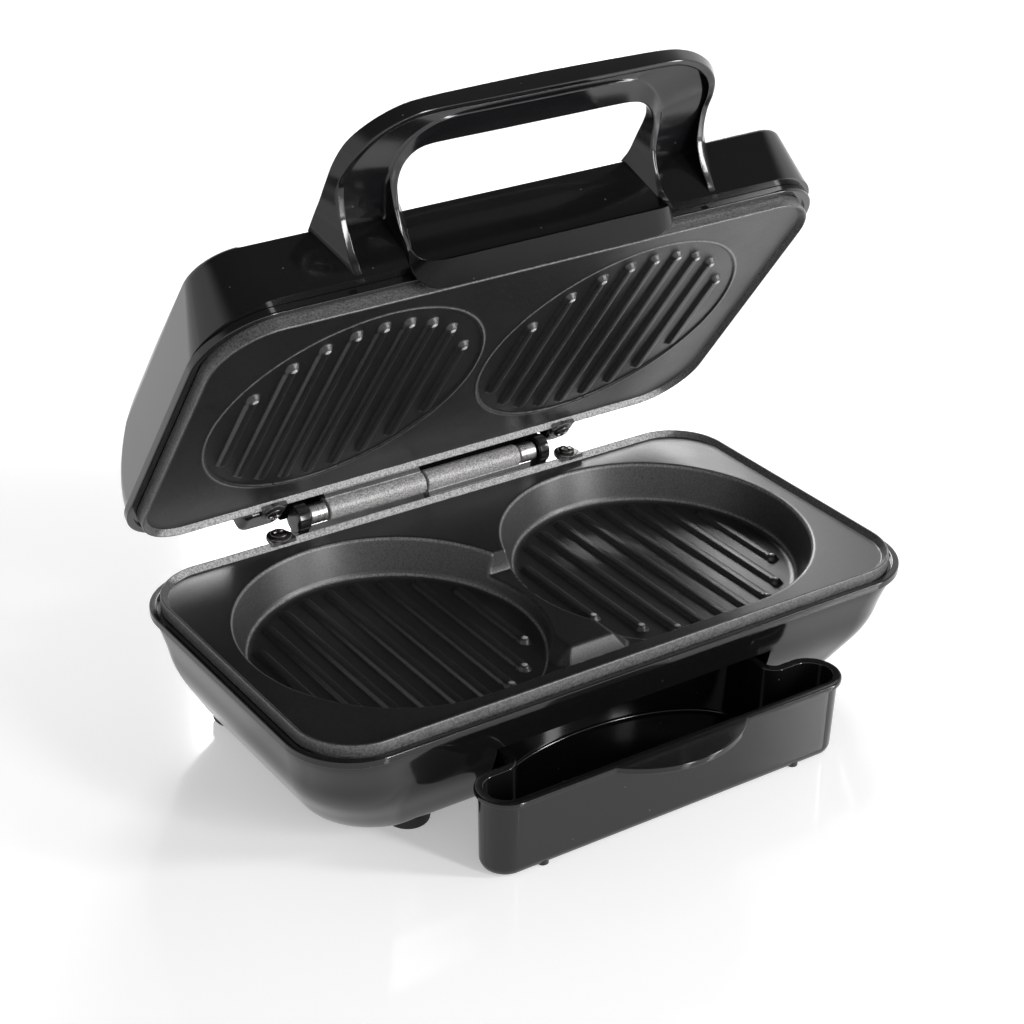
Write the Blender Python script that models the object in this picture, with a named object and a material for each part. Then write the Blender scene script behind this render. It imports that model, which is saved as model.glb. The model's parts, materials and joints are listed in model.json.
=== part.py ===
"""Hamburger maker for two patties, lid open, with a handle ring and a drip tray.

Metres, +Z up. X runs across the front, -Y is the front. The pieces are drawn about
the middle of the two round pockets and moved at the end so that the origin lies on
the table under the middle of the whole outline. Heights of the lid's own pieces are
written for the closed lid, from the hinge axis, and the lid empty opens them.
"""
import math

import bmesh
import bpy
from mathutils import Vector

# Driving heights, above the table
PLATE_HEIGHT = 0.0540
HINGE_HEIGHT = 0.00684
LID_OPEN_DEGREES = 55.03
CLEARANCE = 0.0003
OVERRUN = 0.0040

# Cast cooking plates
POCKET_RADIUS = 0.0600
POCKET_LAP = 0.00094
POCKET_WALL_RUN = 0.00505
PLATE_SIDE_MARGIN = 0.00984
PLATE_END_MARGIN = 0.0092
PLATE_CORNER = 0.0230
PLATE_THICKNESS = 0.0030
BORDER_WIDTH = 0.0033
BORDER_RISE = 0.0023
BORDER_CREST = 0.0006
POCKET_DEPTH = 0.01483
PAN_WALL = 0.0026
CHANNEL_FRONT = 0.0604
CHANNEL_FLOOR_FRONT = 0.0553
SADDLE_DEPTH = 0.0086
SADDLE_BACK = 0.0210
SADDLE_FLOOR_BACK = 0.0200
WEB_TOP_FRONT = 0.0390
WEB_FOOT_FRONT = 0.0435
WEB_BACK = 0.0230
PAN_SWEEP_DEGREES = 240
PAN_NOTCH_SHARE = 0.42
WEB_TOP_HALF_WIDTH = 0.0095
WEB_FOOT_HALF_WIDTH = 0.0165
WEB_NOSE_HALF_WIDTH = 0.0133
DRAIN_SETBACK = 0.0500
DRAIN_RADIUS = 0.0030
SPOUT_WALL = 0.0014
SPOUT_LENGTH = 0.0035
UPPER_CIRCLE_MARGIN = 0.00424
UPPER_CIRCLE_LAP = 0.00130
UPPER_CIRCLE_OFFSET = 0.0017
UPPER_CIRCLE_DEPTH = 0.0008
UPPER_CIRCLE_DRAFT = 0.0008

# Ribs in the pockets
RIB_COUNT = 9
RIB_PITCH = 0.01085
RIB_BASE_WIDTH = 0.0050
RIB_TOP_WIDTH = 0.0024
RIB_HEIGHT = 0.0016
RIB_FRONT_MARGIN = 0.0125
RIB_BACK_MARGIN = 0.0095
RIB_ROOT = 0.0006
BUMP_RADIUS = 0.00275
BUMP_HEIGHT = 0.0021

# Hinge
HINGE_MARGIN = 0.0043
BARREL_RADIUS = 0.0045
BARREL_LENGTH = 0.0443
BARREL_SPLIT = 0.0009
BARREL_SPLIT_OFFSET = -0.0010
PIN_RADIUS = 0.0020
SLEEVE_RADIUS = 0.0040
SLEEVE_LENGTH = 0.0078
SLEEVE_GAP = 0.0006
CHEEK_LENGTH = 0.0040
CHEEK_RADIUS = 0.0058
EAR_OFFSET = 0.00874
EAR_MARGIN = 0.0020
EAR_RADIUS = 0.0050
EAR_TOP = 0.0032
EAR_THICKNESS = 0.0020
SCREW_HEAD_RADIUS = 0.0034
SCREW_HEAD_HEIGHT = 0.0012
SCREW_SHANK_RADIUS = 0.0015
SCREW_SHANK_LENGTH = 0.0020
SCREW_SLOT_LENGTH = 0.0040
SCREW_SLOT_WIDTH = 0.0009
SCREW_SLOT_DEPTH = 0.0006

# Base housing
RIM_SIDE_MARGIN = 0.0041
RIM_END_MARGIN = 0.0033
RIM_CORNER = 0.0260
RIM_DROP = 0.0018
RIM_BAND = 0.0030
RIM_STEP = 0.0008
RIM_WALL = 0.0020
WALL_TOP_DEPTH = 0.0065
WALL_TOP_INSET = 0.0016
HOUSING_DEPTH = 0.0480
SIDE_TAPER = 0.0199
FRONT_TAPER = 0.0205
BACK_TAPER = 0.0159
WALL_THICKNESS = 0.0025
LEDGE_WIDTH = 0.0040
TRAY_OPENING_HALF_WIDTH = 0.0610
TRAY_OPENING_TOP = 0.0180
HINGE_BAY_HALF_WIDTH = 0.0625
HINGE_BAY_DEPTH = 0.0060
HINGE_SHELF_REACH = 0.0086
HINGE_SHELF_LIP = 0.0013
HINGE_SHELF_HEEL = 0.0125
COVER_THICKNESS = 0.0025
BAY_WALL = 0.0018
BAY_ROOF = 0.0016
BAY_CLEARANCE = 0.0004
BAY_FRONT_HIGH = 0.0645
BAY_FRONT_LOW = 0.0470
SPOUT_HOLE_RADIUS = 0.0060
VENT_COUNT = 6
VENT_PITCH = 0.0080
VENT_WIDTH = 0.0028
VENT_LENGTH = 0.0300
VENT_SPACING = 0.0700
VENT_OFFSET = 0.0120
COVER_SCREW_SPACING = 0.0900
COVER_SCREW_FRONT = 0.0220
COVER_SCREW_BACK = 0.0300
WALL_INSET_SHARES = (
    (0.0, 0.0), (0.21, 0.12), (0.38, 0.20), (0.52, 0.31), (0.69, 0.51), (0.83, 0.68), (0.93, 0.83), (1.0, 1.0),
)

# Feet
FOOT_RADIUS = 0.0085
FOOT_TOE_SHARE = 0.82
FOOT_FRONT_INSET = 0.0510
FOOT_FRONT_MARGIN = 0.0290
FOOT_BACK_INSET = 0.0300
FOOT_BACK_MARGIN = 0.0270

# Cord gland, fuse and terminals
GLAND_INSET = 0.0480
GLAND_DROP = 0.0260
GLAND_RADIUS = 0.0060
GLAND_FLANGE_RADIUS = 0.0085
GLAND_BORE = 0.0036
GLAND_LENGTH = 0.0120
GLAND_FLANGE_LENGTH = 0.0030
TERMINAL_LENGTH = 0.0360
TERMINAL_DEPTH = 0.0140
TERMINAL_HEIGHT = 0.0120
TERMINAL_WAYS = 3
TERMINAL_SETBACK = 0.0280
TERMINAL_SCREW_RADIUS = 0.0022
TERMINAL_SCREW_DEPTH = 0.0030
THERMOSTAT_RADIUS = 0.0110
THERMOSTAT_HEIGHT = 0.0080
THERMOSTAT_CAP_RADIUS = 0.0070
THERMOSTAT_CAP_HEIGHT = 0.0050
HEATER_RADIUS = 0.0032
HEATER_HALF_LENGTH = 0.0880
HEATER_HALF_DEPTH = 0.0210
HEATER_OFFSET = 0.0020
HEATER_TAIL_GAP = 0.0150
UPPER_HEATER_HALF_DEPTH = 0.0360
UPPER_HEATER_OFFSET = -0.0040

# Lid housing
LID_RIM_DROP = 0.0022
LID_WALL_FOOT = 0.0052
LID_WALL_TOP = 0.0288
LID_OVERHANG = 0.0045
LID_SIDE_INSET = 0.0006
LID_SIDE_TAPER = 0.0056
LID_BACK_CENTRE = 0.0100
LID_BACK_SPRING = 0.0060
LID_BACK_RISE = 0.0270
LID_CROWN = 0.0326
LID_WALL = 0.0026
LID_FOOT_CORNER = 0.0280
LID_TOP_CORNER = 0.0160
LID_LEDGE = 0.0012
LID_BAY_RISE = 0.0080
HINGE_COVER_REACH = 0.0073
HINGE_COVER_WALL = 0.0016
HINGE_COVER_DROP = 0.0028
HINGE_COVER_BEND = 0.0030
LID_LEVEL_SHARES = (0.25, 0.5, 0.72, 0.88, 0.96, 1.0)
LID_CROWN_SHARES = ((0.35, 0.004, 0.34), (0.70, 0.010, 0.66), (1.0, 0.045, 0.92))
LAMP_RADIUS = 0.0030
LAMP_LENGTH = 0.0060
LAMP_PROUD = 0.0012
LAMP_SPACING = 0.0110
LAMP_SETBACK = 0.0550

# Handle ring
HANDLE_GAP = 0.0005
HANDLE_REACH = 0.0470
HANDLE_LIP_HALF_WIDTH = 0.0785
HANDLE_LIP_FOOT_HALF_WIDTH = 0.0765
HANDLE_TOP_HALF_WIDTH = 0.0808
HANDLE_ROOT_HALF_WIDTH = 0.0850
HANDLE_CORNER = 0.0300
HANDLE_FOOT_HEIGHT = 0.0040
HANDLE_FILLET_HEIGHT = 0.0270
HANDLE_FILLET_DEPTH = 0.0209
HANDLE_LIP_RISE = 0.0030
HANDLE_UNDER_SLOPE_SHARE = 0.33
HANDLE_TOP_BACKSET = 0.0020
HANDLE_TOP_RISE = 0.0133
OPENING_HALF_WIDTH = 0.0542
OPENING_TOP_HALF_WIDTH = 0.0480
OPENING_REACH = 0.0270
OPENING_CORNER = 0.0120
HANDLE_LIP_WALL = 0.0030
HANDLE_INNER_WALL = 0.0024
HANDLE_INNER_BAR = 0.0092
HANDLE_ROOF = 0.0022
STRIP_HALF_WIDTH = 0.0570
STRIP_TOP = 0.0022
STRIP_ROOT_TOP = 0.0049
STRIP_DROP = 0.0037
STRIP_REACH = 0.0035
STRIP_TOE = 0.0010
STRIP_HEEL = 0.0018
LEG_STEPS = 5
BEND_STEPS = 7

# Drip tray
TRAY_RIM_DEPTH = 0.0220
TRAY_FLOOR_DEPTH = 0.0525
TRAY_REACH = 0.0217
TRAY_LOBE_RADIUS = 0.0110
TRAY_LOBE_SPACING = 0.0678
TRAY_NECK_HALF_WIDTH = 0.0580
TRAY_NECK_RADIUS = 0.0040
TRAY_REAR_START = 0.0600
TRAY_REAR_DEPTH = 0.0290
TRAY_WALL = 0.0020
TRAY_RIM_WIDTH = 0.0034
TRAY_RIM_HEIGHT = 0.0022
TRAY_DRAFT = 0.0015
TRAY_LIP_HALF_WIDTH = 0.0292
TRAY_LIP_REACH = 0.0112
TRAY_LIP_THICKNESS = 0.0028
TRAY_FOOT_RADIUS = 0.0022
TRAY_FOOT_SPACING = 0.0560
TRAY_FOOT_SETBACK = 0.0895
TRAY_REAR_FOOT_SPACING = 0.0350
TRAY_REAR_FOOT_SETBACK = 0.0480

# Facet counts
CORNER_STEPS = 8
POCKET_STEPS = 56
ROUND_STEPS = 20
SMALL_STEPS = 12
BUMP_STEPS = 8
TRAY_ARC_STEPS = 8
LIP_ARC_STEPS = 12

# Derived places
POCKET_SPACING = POCKET_RADIUS - POCKET_LAP
POCKET_FLOOR_RADIUS = POCKET_RADIUS - POCKET_WALL_RUN
PLATE_HALF_WIDTH = POCKET_SPACING + POCKET_RADIUS + PLATE_SIDE_MARGIN
PLATE_FRONT = POCKET_RADIUS + PLATE_END_MARGIN
PLATE_BACK = POCKET_RADIUS + PLATE_END_MARGIN
UPPER_CIRCLE_RADIUS = POCKET_RADIUS - UPPER_CIRCLE_MARGIN
UPPER_CIRCLE_SPACING = POCKET_RADIUS - UPPER_CIRCLE_LAP
RIB_FRONT_RADIUS = POCKET_RADIUS - RIB_FRONT_MARGIN
RIB_BACK_RADIUS = POCKET_RADIUS - RIB_BACK_MARGIN
RIM_HALF_WIDTH = PLATE_HALF_WIDTH + RIM_SIDE_MARGIN
RIM_FRONT = PLATE_FRONT + RIM_END_MARGIN
RIM_BACK = PLATE_BACK + RIM_END_MARGIN
HINGE_SETBACK = PLATE_BACK + HINGE_MARGIN
HINGE_SHELF_BACK = HINGE_SETBACK + HINGE_SHELF_REACH
HINGE_COVER_BACK = HINGE_SETBACK + HINGE_COVER_REACH
EAR_SPACING = POCKET_SPACING + EAR_OFFSET
EAR_SETBACK = PLATE_BACK + EAR_MARGIN
FOOT_FRONT_SPACING = RIM_HALF_WIDTH - FOOT_FRONT_INSET
FOOT_FRONT_SETBACK = RIM_FRONT - FOOT_FRONT_MARGIN
FOOT_BACK_SPACING = RIM_HALF_WIDTH - FOOT_BACK_INSET
FOOT_BACK_SETBACK = RIM_BACK - FOOT_BACK_MARGIN
GLAND_SPACING = RIM_HALF_WIDTH - GLAND_INSET
LID_FRONT = RIM_FRONT + LID_OVERHANG
TRAY_FRONT = RIM_FRONT + TRAY_REACH
HINGE_Z = PLATE_HEIGHT + HINGE_HEIGHT
TABLE = -PLATE_HEIGHT
LID_FACE = HINGE_HEIGHT
PAN_DEPTH = POCKET_DEPTH + PLATE_THICKNESS
POCKET_DRAFT = (POCKET_RADIUS - POCKET_FLOOR_RADIUS) / POCKET_DEPTH
HANDLE_BASE = LID_FRONT + HANDLE_GAP


def clear_scene():
    for old in list(bpy.data.objects):
        bpy.data.objects.remove(old, do_unlink=True)


def finish_material(name, colour, roughness, metallic):
    material = bpy.data.materials.new(name)
    material.use_nodes = True
    shader = material.node_tree.nodes["Principled BSDF"]
    shader.inputs["Base Color"].default_value = (*colour, 1.0)
    shader.inputs["Roughness"].default_value = roughness
    shader.inputs["Metallic"].default_value = metallic
    return material


def make_materials():
    return {
        "gloss": finish_material("gloss_black_plastic", (0.012, 0.012, 0.013), 0.18, 0.0),
        "satin": finish_material("satin_black_plastic", (0.020, 0.020, 0.021), 0.38, 0.0),
        "coating": finish_material("non_stick_coating", (0.045, 0.044, 0.045), 0.42, 0.35),
        "steel": finish_material("dull_steel", (0.42, 0.41, 0.40), 0.38, 1.0),
        "dark_steel": finish_material("blackened_screw_steel", (0.060, 0.058, 0.056), 0.35, 0.9),
        "rubber": finish_material("black_foot_rubber", (0.015, 0.015, 0.015), 0.75, 0.0),
        "red_lens": finish_material("red_lamp_lens", (0.45, 0.02, 0.015), 0.20, 0.0),
        "green_lens": finish_material("green_lamp_lens", (0.03, 0.35, 0.06), 0.20, 0.0),
        "ceramic": finish_material("cream_ceramic", (0.62, 0.56, 0.45), 0.60, 0.0),
    }


def rounded_plan(half_width, front, back, radius):
    """Rounded rectangle seen from above; front and back are distances from y = 0."""
    radius = min(radius, half_width, (front + back) / 2 * 0.98)
    centres = (
        (half_width - radius, radius - front, -math.pi / 2),
        (half_width - radius, back - radius, 0),
        (radius - half_width, back - radius, math.pi / 2),
        (radius - half_width, radius - front, math.pi),
    )
    points = []
    for x, y, start in centres:
        for step in range(CORNER_STEPS + 1):
            angle = start + math.pi / 2 * step / CORNER_STEPS
            points.append((x + radius * math.cos(angle), y + radius * math.sin(angle)))
    return points


def level(points, z):
    return [Vector((x, y, z)) for x, y in points]


def loft_mesh(sections, ring=False):
    """Skin over sections of equal count; open lofts get end caps, rings close on themselves."""
    mesh = bmesh.new()
    rows = [[mesh.verts.new(point) for point in section] for section in sections]
    pairs = list(zip(rows[:-1], rows[1:]))
    if ring:
        pairs.append((rows[-1], rows[0]))
    for lower, upper in pairs:
        count = len(lower)
        for i in range(count):
            j = (i + 1) % count
            mesh.faces.new((lower[i], lower[j], upper[j], upper[i]))
    if not ring:
        mesh.faces.new(rows[0])
        mesh.faces.new(rows[-1])
    bmesh.ops.recalc_face_normals(mesh, faces=mesh.faces)
    return mesh


def add_mesh(target, source):
    """Append one bmesh to another as a separate shell."""
    table = {vert: target.verts.new(vert.co) for vert in source.verts}
    for face in source.faces:
        target.faces.new([table[vert] for vert in face.verts])
    source.free()
    return target


def shift_mesh(mesh, offset):
    bmesh.ops.translate(mesh, verts=mesh.verts, vec=offset)
    return mesh


def place(name, mesh, material=None, parent=None, sharp_degrees=35.0):
    """Turn a bmesh into a named object."""
    data = bpy.data.meshes.new(name)
    mesh.to_mesh(data)
    mesh.free()
    data.shade_smooth()
    data.set_sharp_from_angle(angle=math.radians(sharp_degrees))
    if material:
        data.materials.append(material)
    piece = bpy.data.objects.new(name, data)
    bpy.context.scene.collection.objects.link(piece)
    if parent:
        piece.parent = parent
    return piece


def tool(name, mesh, parent=None):
    """A cutting or joining shape that is not a piece itself."""
    piece = place(name, mesh, parent=parent)
    piece.hide_render = True
    piece.display_type = "WIRE"
    return piece


def combine(piece, operation, mesh):
    """Join a shape to a piece, or cut it away, with a Boolean modifier; returns the tool."""
    label = f"{piece.name}_{operation.lower()}_{len(piece.modifiers)}"
    modifier = piece.modifiers.new(label, "BOOLEAN")
    modifier.operation = operation
    modifier.solver = "EXACT"
    modifier.object = tool(label, mesh, parent=piece.parent)
    return modifier.object


def cut(piece, mesh):
    return combine(piece, "DIFFERENCE", mesh)


def join(piece, mesh):
    return combine(piece, "UNION", mesh)


def prism_x(profile, x_low, x_high):
    """A (y, z) outline drawn along X."""
    return loft_mesh([[Vector((x, y, z)) for y, z in profile] for x in (x_low, x_high)])


def prism_z(outline, z_low, z_high):
    return loft_mesh([level(outline, z_low), level(outline, z_high)])


def block(x_low, x_high, y_low, y_high, z_low, z_high):
    outline = ((x_low, y_low), (x_high, y_low), (x_high, y_high), (x_low, y_high))
    return prism_z(outline, z_low, z_high)


def circle(radius, steps, centre=(0, 0)):
    return [(centre[0] + radius * math.cos(math.tau * i / steps),
             centre[1] + radius * math.sin(math.tau * i / steps)) for i in range(steps)]


def turned(profile, steps, centre=(0, 0)):
    """A solid of revolution about Z from (radius, z) pairs, flat at both ends."""
    return loft_mesh([level(circle(radius, steps, centre), z) for radius, z in profile])


def turned_x(profile, steps, y, z):
    """A solid of revolution about a line along X from (radius, x) pairs."""
    sections = []
    for radius, x in profile:
        sections.append([Vector((x, y + v, z + w)) for v, w in circle(radius, steps)])
    return loft_mesh(sections)


def turned_y(profile, steps, x, z):
    sections = []
    for radius, y in profile:
        sections.append([Vector((x + v, y, z + w)) for v, w in circle(radius, steps)])
    return loft_mesh(sections)


def rib_mesh(x, y_front, y_back, root, up):
    """One tapered rib running front to back, standing on height root towards up."""
    base, top = RIB_BASE_WIDTH / 2, RIB_TOP_WIDTH / 2
    z_base, z_top = root - up * RIB_ROOT, root + up * RIB_HEIGHT
    taper = RIB_BASE_WIDTH / 2 - RIB_TOP_WIDTH / 2
    low = [(x - base, y_front), (x + base, y_front), (x + base, y_back), (x - base, y_back)]
    high = [(x - top, y_front), (x + top, y_front), (x + top, y_back - taper), (x - top, y_back - taper)]
    return loft_mesh([level(low, z_base), level(high, z_top)])


def bump_mesh(x, y, root, up):
    """A low round dimple head at a rib's front end."""
    shares = ((1.0, 0.0), (0.92, 0.42), (0.66, 0.78), (0.30, 1.0))
    profile = [(BUMP_RADIUS, root - up * RIB_ROOT)]
    profile += [(BUMP_RADIUS * wide, root + up * BUMP_HEIGHT * tall) for wide, tall in shares]
    return turned(profile, BUMP_STEPS, (x, y))


def rib_field(centre_x, centre_y, root, up):
    """All ribs and bumps of one pocket, as two sets of separate shells."""
    ribs, bumps = bmesh.new(), bmesh.new()
    for index in range(RIB_COUNT):
        offset = (index - (RIB_COUNT - 1) / 2) * RIB_PITCH
        y_front = centre_y - math.sqrt(RIB_FRONT_RADIUS ** 2 - offset ** 2)
        y_back = centre_y + math.sqrt(RIB_BACK_RADIUS ** 2 - offset ** 2)
        add_mesh(ribs, rib_mesh(centre_x + offset, y_front, y_back, root, up))
        add_mesh(bumps, bump_mesh(centre_x + offset, y_front, root, up))
    return ribs, bumps


def plate_blank(face, up):
    """Flat cast plate with its sloping border; up is +1 where the food side faces up."""
    outer = rounded_plan(PLATE_HALF_WIDTH, PLATE_FRONT, PLATE_BACK, PLATE_CORNER)
    crest = rounded_plan(PLATE_HALF_WIDTH - BORDER_CREST, PLATE_FRONT - BORDER_CREST,
                         PLATE_BACK - BORDER_CREST, PLATE_CORNER - BORDER_CREST)
    inner = rounded_plan(PLATE_HALF_WIDTH - BORDER_WIDTH, PLATE_FRONT - BORDER_WIDTH,
                         PLATE_BACK - BORDER_WIDTH, PLATE_CORNER - BORDER_WIDTH)
    shoulder = BORDER_RISE - BORDER_CREST / 2
    return loft_mesh([
        level(outer, face - up * PLATE_THICKNESS),
        level(outer, face + up * shoulder),
        level(crest, face + up * BORDER_RISE),
        level(inner, face),
    ])


def pan_outline(radius):
    """Underside of both pockets in one: two arcs, straight in front, drawn in behind."""
    right = [(0.0, -radius)]
    for step in range(POCKET_STEPS // 2 + 1):
        angle = -math.pi / 2 + math.radians(PAN_SWEEP_DEGREES) * step / (POCKET_STEPS // 2)
        right.append((POCKET_SPACING + radius * math.cos(angle), radius * math.sin(angle)))
    right.append((0.0, radius * PAN_NOTCH_SHARE))
    return right + [(-x, y) for x, y in reversed(right[1:-1])]


def pan_mesh(face):
    return loft_mesh([level(pan_outline(POCKET_FLOOR_RADIUS + PAN_WALL), face - PAN_DEPTH),
                      level(pan_outline(POCKET_RADIUS + PAN_WALL), face - PLATE_THICKNESS / 2)])


def pocket_profile(face):
    return (
        (POCKET_FLOOR_RADIUS, face - POCKET_DEPTH),
        (POCKET_RADIUS + POCKET_DRAFT * OVERRUN, face + OVERRUN),
    )


def channel_profile(face):
    """Side outline of what is cut between the pockets: saddle behind, open channel in front."""
    return (
        (-CHANNEL_FRONT - OVERRUN * (CHANNEL_FRONT - CHANNEL_FLOOR_FRONT) / POCKET_DEPTH, face + OVERRUN),
        (-CHANNEL_FLOOR_FRONT, face - POCKET_DEPTH),
        (-WEB_BACK, face - POCKET_DEPTH),
        (-WEB_BACK, face + OVERRUN),
    )


def saddle_profile(face):
    lean = (SADDLE_BACK - SADDLE_FLOOR_BACK) / SADDLE_DEPTH
    return (
        (-WEB_TOP_FRONT, face - SADDLE_DEPTH),
        (SADDLE_FLOOR_BACK, face - SADDLE_DEPTH),
        (SADDLE_BACK + lean * OVERRUN, face + OVERRUN),
        (-WEB_TOP_FRONT, face + OVERRUN),
    )


def web_mesh(face):
    """The raised web's front stretch, with sloping sides, nose and corner facets."""
    back = OVERRUN - WEB_BACK
    lean = (WEB_FOOT_HALF_WIDTH - WEB_TOP_HALF_WIDTH) * OVERRUN / (POCKET_DEPTH - SADDLE_DEPTH)
    shoulder = WEB_TOP_FRONT + CLEARANCE

    def outline(nose, side, front, corner):
        return [(-nose, -front), (nose, -front), (side, -corner), (side, back), (-side, back), (-side, -corner)]

    low = outline(WEB_NOSE_HALF_WIDTH + lean, WEB_FOOT_HALF_WIDTH + lean, WEB_FOOT_FRONT + lean, shoulder)
    high = outline(WEB_TOP_HALF_WIDTH - CLEARANCE, WEB_TOP_HALF_WIDTH, WEB_TOP_FRONT, WEB_TOP_FRONT - CLEARANCE)
    return loft_mesh([level(low, face - POCKET_DEPTH - OVERRUN), level(high, face - SADDLE_DEPTH + CLEARANCE)])


def ear_mesh(x, face, up):
    """A round screw ear at the plate's rear edge, with its neck."""
    top = face + up * EAR_TOP
    ear = turned(((EAR_RADIUS, top - up * EAR_THICKNESS), (EAR_RADIUS, top)), ROUND_STEPS, (x, EAR_SETBACK))
    return ear


def ear_neck(x, face, up):
    top = face + up * EAR_TOP
    return block(x - EAR_RADIUS, x + EAR_RADIUS, PLATE_BACK - BORDER_WIDTH + BORDER_CREST, EAR_SETBACK,
                 *sorted((top - up * (EAR_THICKNESS - CLEARANCE), top - up * CLEARANCE)))


def lug_profile(face, up):
    """Side outline of the web that carries a hinge barrel behind a plate."""
    axis = up * HINGE_HEIGHT
    root = PLATE_BACK + CLEARANCE
    return (
        (root, face - up * (PLATE_THICKNESS - CLEARANCE)),
        (root, face + up * BORDER_RISE / 2),
        (HINGE_SETBACK - BARREL_RADIUS * 0.8, face + axis - up * BARREL_RADIUS * 0.4),
        (HINGE_SETBACK + BARREL_RADIUS * 0.6, face + axis - up * BARREL_RADIUS * 0.6),
        (HINGE_SETBACK - BARREL_RADIUS * 0.4, face - up * (PLATE_THICKNESS - CLEARANCE)),
    )


def make_barrel(name, x_low, x_high, face, up, offset, finish, parent=None):
    """Cast hinge barrel with its carrying web and the bore for the pin."""
    axis = face + up * HINGE_HEIGHT
    web = [(y + offset, z) for y, z in lug_profile(face, up)]
    barrel = place(name, prism_x(web, x_low, x_high), finish["coating"], parent)
    y = HINGE_SETBACK + offset
    join(barrel, turned_x(((BARREL_RADIUS, x_low), (BARREL_RADIUS, x_high)), ROUND_STEPS, y, axis))
    bore = PIN_RADIUS + CLEARANCE
    cut(barrel, turned_x(((bore, x_low - OVERRUN), (bore, x_high + OVERRUN)), SMALL_STEPS, y, axis))


def screw_hole(x, y, z):
    radius = SCREW_SHANK_RADIUS + CLEARANCE
    return turned(((radius, z - OVERRUN * 2), (radius, z + OVERRUN * 2)), SMALL_STEPS, (x, y))


def make_lower_plate(finish):
    face = PLATE_HEIGHT
    plate = place("lower_plate", plate_blank(face, 1), finish["coating"])
    join(plate, pan_mesh(face))
    for side in (-1, 1):
        cut(plate, turned(pocket_profile(face), POCKET_STEPS, (side * POCKET_SPACING, 0)))
    channel = cut(plate, prism_x(channel_profile(face), -POCKET_SPACING, POCKET_SPACING))
    cut(channel, web_mesh(face))
    cut(plate, prism_x(saddle_profile(face), -WEB_FOOT_HALF_WIDTH, WEB_FOOT_HALF_WIDTH))
    for side in (-1, 1):
        ribs, bumps = rib_field(side * POCKET_SPACING, 0, face - POCKET_DEPTH, 1)
        join(plate, ribs)
        join(plate, bumps)
    spout = ((DRAIN_RADIUS + SPOUT_WALL, face - PAN_DEPTH - SPOUT_LENGTH),
             (DRAIN_RADIUS + SPOUT_WALL, face - POCKET_DEPTH - PAN_WALL / 2))
    join(plate, turned(spout, ROUND_STEPS, (0, -DRAIN_SETBACK)))
    drain = ((DRAIN_RADIUS, face - PAN_DEPTH - SPOUT_LENGTH - OVERRUN), (DRAIN_RADIUS, face - POCKET_DEPTH + OVERRUN))
    cut(plate, turned(drain, ROUND_STEPS, (0, -DRAIN_SETBACK)))
    for side in (-1, 1):
        join(plate, ear_neck(side * EAR_SPACING, face, 1))
        join(plate, ear_mesh(side * EAR_SPACING, face, 1))
        cut(plate, screw_hole(side * EAR_SPACING, EAR_SETBACK, face + EAR_TOP))
    start = BARREL_SPLIT_OFFSET + BARREL_SPLIT / 2
    make_barrel("lower_hinge_barrel", start, start + BARREL_LENGTH, face, 1, 0, finish)


def make_upper_plate(finish, lid):
    """Built in the closed position, from the hinge axis, food side down."""
    face = LID_FACE
    plate = place("upper_plate", shift_mesh(plate_blank(face, -1), Vector((0, -HINGE_SETBACK, 0))),
                  finish["coating"], lid)
    for side in (-1, 1):
        rim = (UPPER_CIRCLE_RADIUS + UPPER_CIRCLE_DRAFT, face - OVERRUN)
        profile = (rim, (UPPER_CIRCLE_RADIUS + UPPER_CIRCLE_DRAFT, face - CLEARANCE / 3),
                   (UPPER_CIRCLE_RADIUS, face + UPPER_CIRCLE_DEPTH))
        centre = (side * UPPER_CIRCLE_SPACING, -UPPER_CIRCLE_OFFSET - HINGE_SETBACK)
        cut(plate, turned(profile, POCKET_STEPS, centre))
    for side in (-1, 1):
        ribs, bumps = rib_field(side * UPPER_CIRCLE_SPACING, -UPPER_CIRCLE_OFFSET - HINGE_SETBACK,
                                face + UPPER_CIRCLE_DEPTH, -1)
        join(plate, ribs)
        join(plate, bumps)
    back = Vector((0, -HINGE_SETBACK, 0))
    for side in (-1, 1):
        join(plate, shift_mesh(ear_neck(side * EAR_SPACING, face, -1), back))
        join(plate, shift_mesh(ear_mesh(side * EAR_SPACING, face, -1), back))
        cut(plate, screw_hole(side * EAR_SPACING, EAR_SETBACK - HINGE_SETBACK, face - EAR_TOP))
    end = BARREL_SPLIT_OFFSET - BARREL_SPLIT / 2
    make_barrel("upper_hinge_barrel", end - BARREL_LENGTH, end, face, -1, -HINGE_SETBACK, finish, lid)


def screw_mesh(up):
    """Pan-head screw with a cross recess; the head's seat is at z = 0."""
    profile = ((SCREW_SHANK_RADIUS, -up * SCREW_SHANK_LENGTH), (SCREW_SHANK_RADIUS, 0),
               (SCREW_HEAD_RADIUS, 0), (SCREW_HEAD_RADIUS, up * SCREW_HEAD_HEIGHT * 0.5),
               (SCREW_HEAD_RADIUS * 0.72, up * SCREW_HEAD_HEIGHT))
    return turned(profile, SMALL_STEPS)


def cross_mesh(up):
    """Plus-shaped recess, sunk into a screw head's top."""
    arm, half = SCREW_SLOT_LENGTH / 2, SCREW_SLOT_WIDTH / 2
    outline = ((-half, -arm), (half, -arm), (half, -half), (arm, -half), (arm, half), (half, half),
               (half, arm), (-half, arm), (-half, half), (-arm, half), (-arm, -half), (-half, -half))
    top = SCREW_HEAD_HEIGHT
    return prism_z(outline, *sorted((up * (top - SCREW_SLOT_DEPTH), up * (top + SCREW_SLOT_DEPTH))))


def make_screw(name, x, y, z, up, finish, parent=None):
    seat = Vector((x, y, z + up * CLEARANCE))
    screw = place(name, shift_mesh(screw_mesh(up), seat), finish["dark_steel"], parent)
    cut(screw, shift_mesh(cross_mesh(up), seat))
    return screw


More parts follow.
